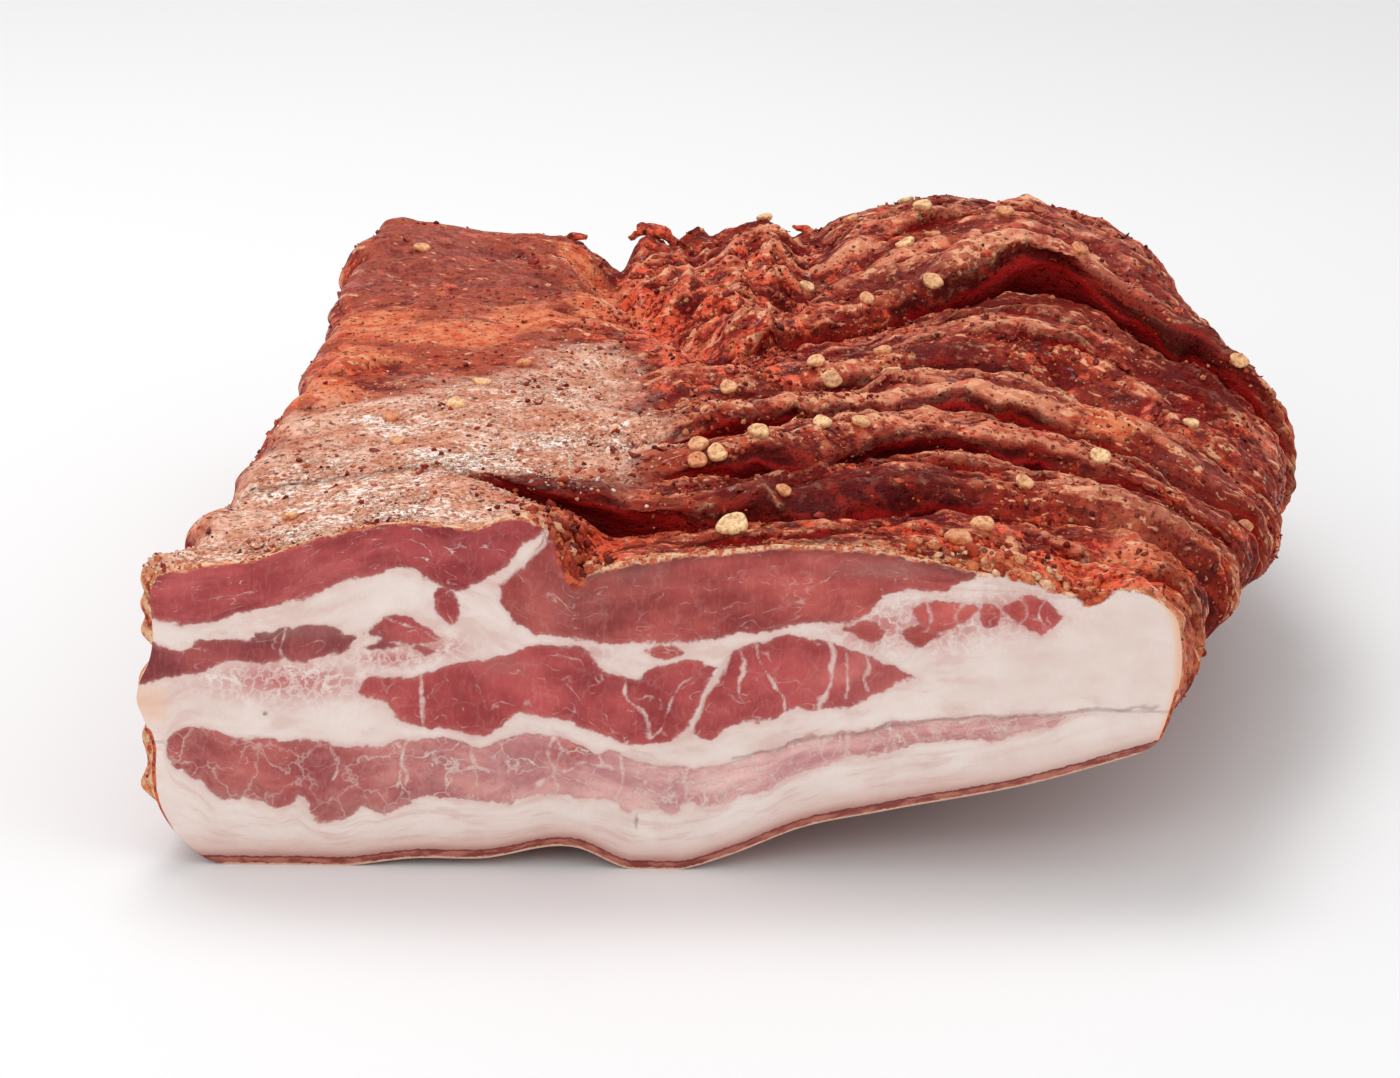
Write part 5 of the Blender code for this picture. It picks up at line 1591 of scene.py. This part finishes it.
def add_scatter(points, normals, fields, end, end_normals, patch, crust):
    """Seeds, flakes, crumbs and salt on the crust, and the torn strips on its far edge."""
    draw = np.random.RandomState(SEEDING_SEED + 2)
    area = (np.linalg.norm(np.gradient(points, axis=0), axis=-1)
            * np.linalg.norm(np.roll(points, -1, 1) - points, axis=-1)).ravel()
    soft = neighbours_mean(normals, 4)
    points, out, soft, end, end_normals = (grid.reshape(-1, 3)
                                           for grid in (points, normals, soft, end, end_normals))
    add_seeds(np.concatenate([points, end]), np.concatenate([soft, end_normals]), draw, patch)

    f = SimpleNamespace(**{name: values.ravel() for name, values in fields.items()})
    outside = ease(f.upward, -0.55, -0.2) * ease(f.back, 0.0004, 0.002)
    at_rim = hump(f.back, 0.0018) * (f.upward > 0.3)
    near_cut = np.exp(-f.back / 0.010) * (f.upward > 0.5)
    clusters = 0.12 + ease(lumps(points, 0.013, 97), -0.15, 0.55)
    ragged = 0.1 + ease(lumps(points, 0.007, 98), -0.1, 0.4)
    bare = (1 - 0.8 * np.maximum(f.smooth_lean, 0.6 * f.fatty)) * (1 - 0.7 * f.inside)
    spice = area * outside * bare * clusters * (0.35 + 0.65 * f.pleated + 1.6 * f.paste + 1.6 * near_cut)
    pit = area * hump(f.x - 0.090, 0.0055) * np.exp(-f.back / 0.007) * (f.upward > 0.2)
    clump = within(f.x, 0.160, 0.176, 0.205, 0.214, area * (f.upward > 0.3)) * hump(f.back, 0.009)
    salted = area * f.bloom**1.5 * clusters * outside * (1 - np.maximum(f.inside, f.front))

    crumbs, plates = [crumb_shape(draw) for _ in range(8)], [flake_shape(draw) for _ in range(8)]
    spicy = picked_finish("spice_crumb", SPICE_TINTS, 0.45, 0.0008, patch, Specular_IOR_Level=0.25)
    gold = picked_finish("golden_crumb", GOLD_TINTS, 0.40, 0.0009, patch, Specular_IOR_Level=0.3)
    salt = picked_finish("salt_crumb", SALT_TINTS, 0.5, 0.0008, patch)
    flake = picked_finish("chilli_flake", FLAKE_TINTS, 0.34, 0.0015, patch, Specular_IOR_Level=0.35)
    add_torn_edge(points, crust)
    for name, shapes, weight, finish in (
            ("spice_crumbs", crumbs, spice, spicy), ("chilli_flakes", plates, spice, flake),
            ("rim_crumbs", crumbs, area * at_rim * ragged, gold), ("pit_crumbs", crumbs, pit, spicy),
            ("golden_crumbs", crumbs, pit + 0.7 * clump, gold), ("salt_crumbs", crumbs, salted, salt)):
        sprinkle(name, shapes, weight, finish, points, out, draw)


# Torn strips on the far edge: root, heading in degrees, length, width, and how far round each one curls.
TORN_STRIPS = (((0.139, 0.296), 172, 0.016, 0.0085, 2.0), ((0.135, 0.297), 150, 0.008, 0.0040, 1.2),
               ((0.112, 0.297), 20, 0.008, 0.0040, 1.6), ((0.175, 0.299), 200, 0.006, 0.0040, 1.0),
               ((0.262, 0.205), 60, 0.006, 0.0040, 1.4))


def torn_strip(root, heading, length, width, curl):
    """A strip of torn crust that stands up and curls over: points of rings along it, and faces."""
    steps, sides = 14, 8
    t = np.linspace(0, 1, steps)
    turn = 1.25 - curl * t
    gap = length / (steps - 1)
    ahead = np.concatenate([[0], np.cumsum(gap * np.cos(turn[1:]))])
    up = np.concatenate([[0], np.cumsum(gap * np.sin(turn[1:]))])
    way = np.array((math.cos(math.radians(heading)), math.sin(math.radians(heading)), 0))
    side = np.array((-way[1], way[0], 0))
    round_it = 2 * math.pi * np.arange(sides) / sides
    half = 0.5 * width * np.sqrt(np.clip(1 - t**6, 0.05, 1)) * (1 + 0.25 * np.sin(9 * t + heading))
    thick = 0.0015 * (1 - 0.5 * t)
    middle = np.array(root) + ahead[:, None] * way + up[:, None] * np.array((0, 0, 1.0))
    over = -np.sin(turn)[:, None] * way + np.cos(turn)[:, None] * np.array((0, 0, 1.0))
    rings = (middle[:, None] + (half[:, None] * np.cos(round_it))[..., None] * side
             + (thick[:, None] * np.sin(round_it))[..., None] * over[:, None])
    points = rings.reshape(-1, 3)
    points = points + 0.0013 * lumps(points, 0.0030, 91)[:, None] * (side + over.repeat(sides, 0))
    number = np.arange(steps * sides).reshape(steps, sides)
    a, b = number[:-1], np.roll(number, -1, 1)[:-1]
    c, d = np.roll(number, -1, 1)[1:], number[1:]
    faces = np.stack([a, b, c, d], -1).reshape(-1, 4)
    tips = [len(points), len(points) + 1]
    points = np.vstack([points, middle[:1], middle[-1:]])
    caps = []
    for k in range(0, sides, 2):
        caps.append((tips[0], number[0, (k + 2) % sides], number[0, k + 1], number[0, k]))
        caps.append((tips[1], number[-1, k], number[-1, k + 1], number[-1, (k + 2) % sides]))
    return points, np.vstack([faces, caps])


# The camera and the studio.

CAMERA_EYE = (-0.0023, -1.0481, 0.4142)
CAMERA_AIM = (0.1285, 0.095, 0.046)
CAMERA_UP = (-0.0187, 0.3085, 0.9510)
CAMERA_LENS = 132.0


def add_camera():
    """The camera, from where the photographer stood."""
    data = bpy.data.cameras.new("camera")
    data.lens = CAMERA_LENS
    data.sensor_width = 36.0
    camera = bpy.data.objects.new("camera", data)
    camera.location = Vector(CAMERA_EYE) + Vector(PLACE)
    aim = Vector(CAMERA_AIM) + Vector(PLACE)
    camera.rotation_mode = "QUATERNION"
    forward, up = (aim - camera.location).normalized(), Vector(CAMERA_UP)
    right = forward.cross(up).normalized()
    camera.rotation_quaternion = Matrix((right, right.cross(forward), -forward)).transposed().to_quaternion()
    bpy.context.scene.collection.objects.link(camera)
    bpy.context.scene.camera = camera


def add_softbox(name, place, aim, size, watts, tint=(1, 1, 1)):
    """A large soft lamp turned to a point."""
    data = bpy.data.lights.new(name, "AREA")
    data.shape = "RECTANGLE"
    data.size, data.size_y = size
    data.energy = watts
    data.color = tint
    lamp = bpy.data.objects.new(name, data)
    lamp.location = place
    lamp.rotation_mode = "QUATERNION"
    lamp.rotation_quaternion = (Vector(aim) - Vector(place)).to_track_quat("-Z", "Y")
    bpy.context.scene.collection.objects.link(lamp)


def add_studio():
    """Pale floor, white surround and soft lamps."""
    half = 3.0
    mesh = bpy.data.meshes.new("floor")
    corners = [(-half, -half, 0), (half, -half, 0), (half, half, 0), (-half, half, 0)]
    mesh.from_pydata(corners, [], [(0, 1, 2, 3)])
    mesh.materials.append(floor_finish())
    floor = bpy.data.objects.new("floor", mesh)
    bpy.context.scene.collection.objects.link(floor)
    world = bpy.data.worlds.new("surround")
    world.use_nodes = True
    world.node_tree.nodes["Background"].inputs["Color"].default_value = (1.0, 1.0, 1.0, 1)
    world.node_tree.nodes["Background"].inputs["Strength"].default_value = 0.66
    bpy.context.scene.world = world
    middle = (0, 0, 0.04)
    add_softbox("over", (-0.25, 0.35, 1.1), middle, (0.7, 0.5), 6.2)
    add_softbox("front_left", (-0.7, -1.3, 0.75), middle, (0.8, 0.8), 6.0)
    add_softbox("front_right", (1.0, -0.8, 0.5), middle, (0.5, 0.5), 1.4)
    view = bpy.context.scene.view_settings
    view.view_transform = "Standard"


def build():
    """Everything, in order."""
    global PLACE
    least_x = cut_grid()[..., 0].min()
    PLACE = np.array([SOLID_LOW.x - least_x, SOLID_LOW.y, 0.0])
    add_camera()
    points, fields = lay_skin()
    fields["along"] = 0.35 * fields["x"] + 0.15 * fields["back"]
    fields["over"] = 0.024 * fields["fold"] + 0.35 * points[..., 2]
    fields["rim"] = hump(fields["back"], 0.0030) * (fields["upward"] > -0.4)
    fields.update(zones(fields))
    patch, grain = patches_group(), grains_group()
    crust = crust_finish(patch, grain)
    normals = add_skin(points, fields, crust, rind_finish(patch, grain))
    end, end_normals = add_end(points, crust)
    add_cut(cut_finish(patch))
    add_scatter(points, normals, fields, end, end_normals, patch, crust)
    add_studio()


build()
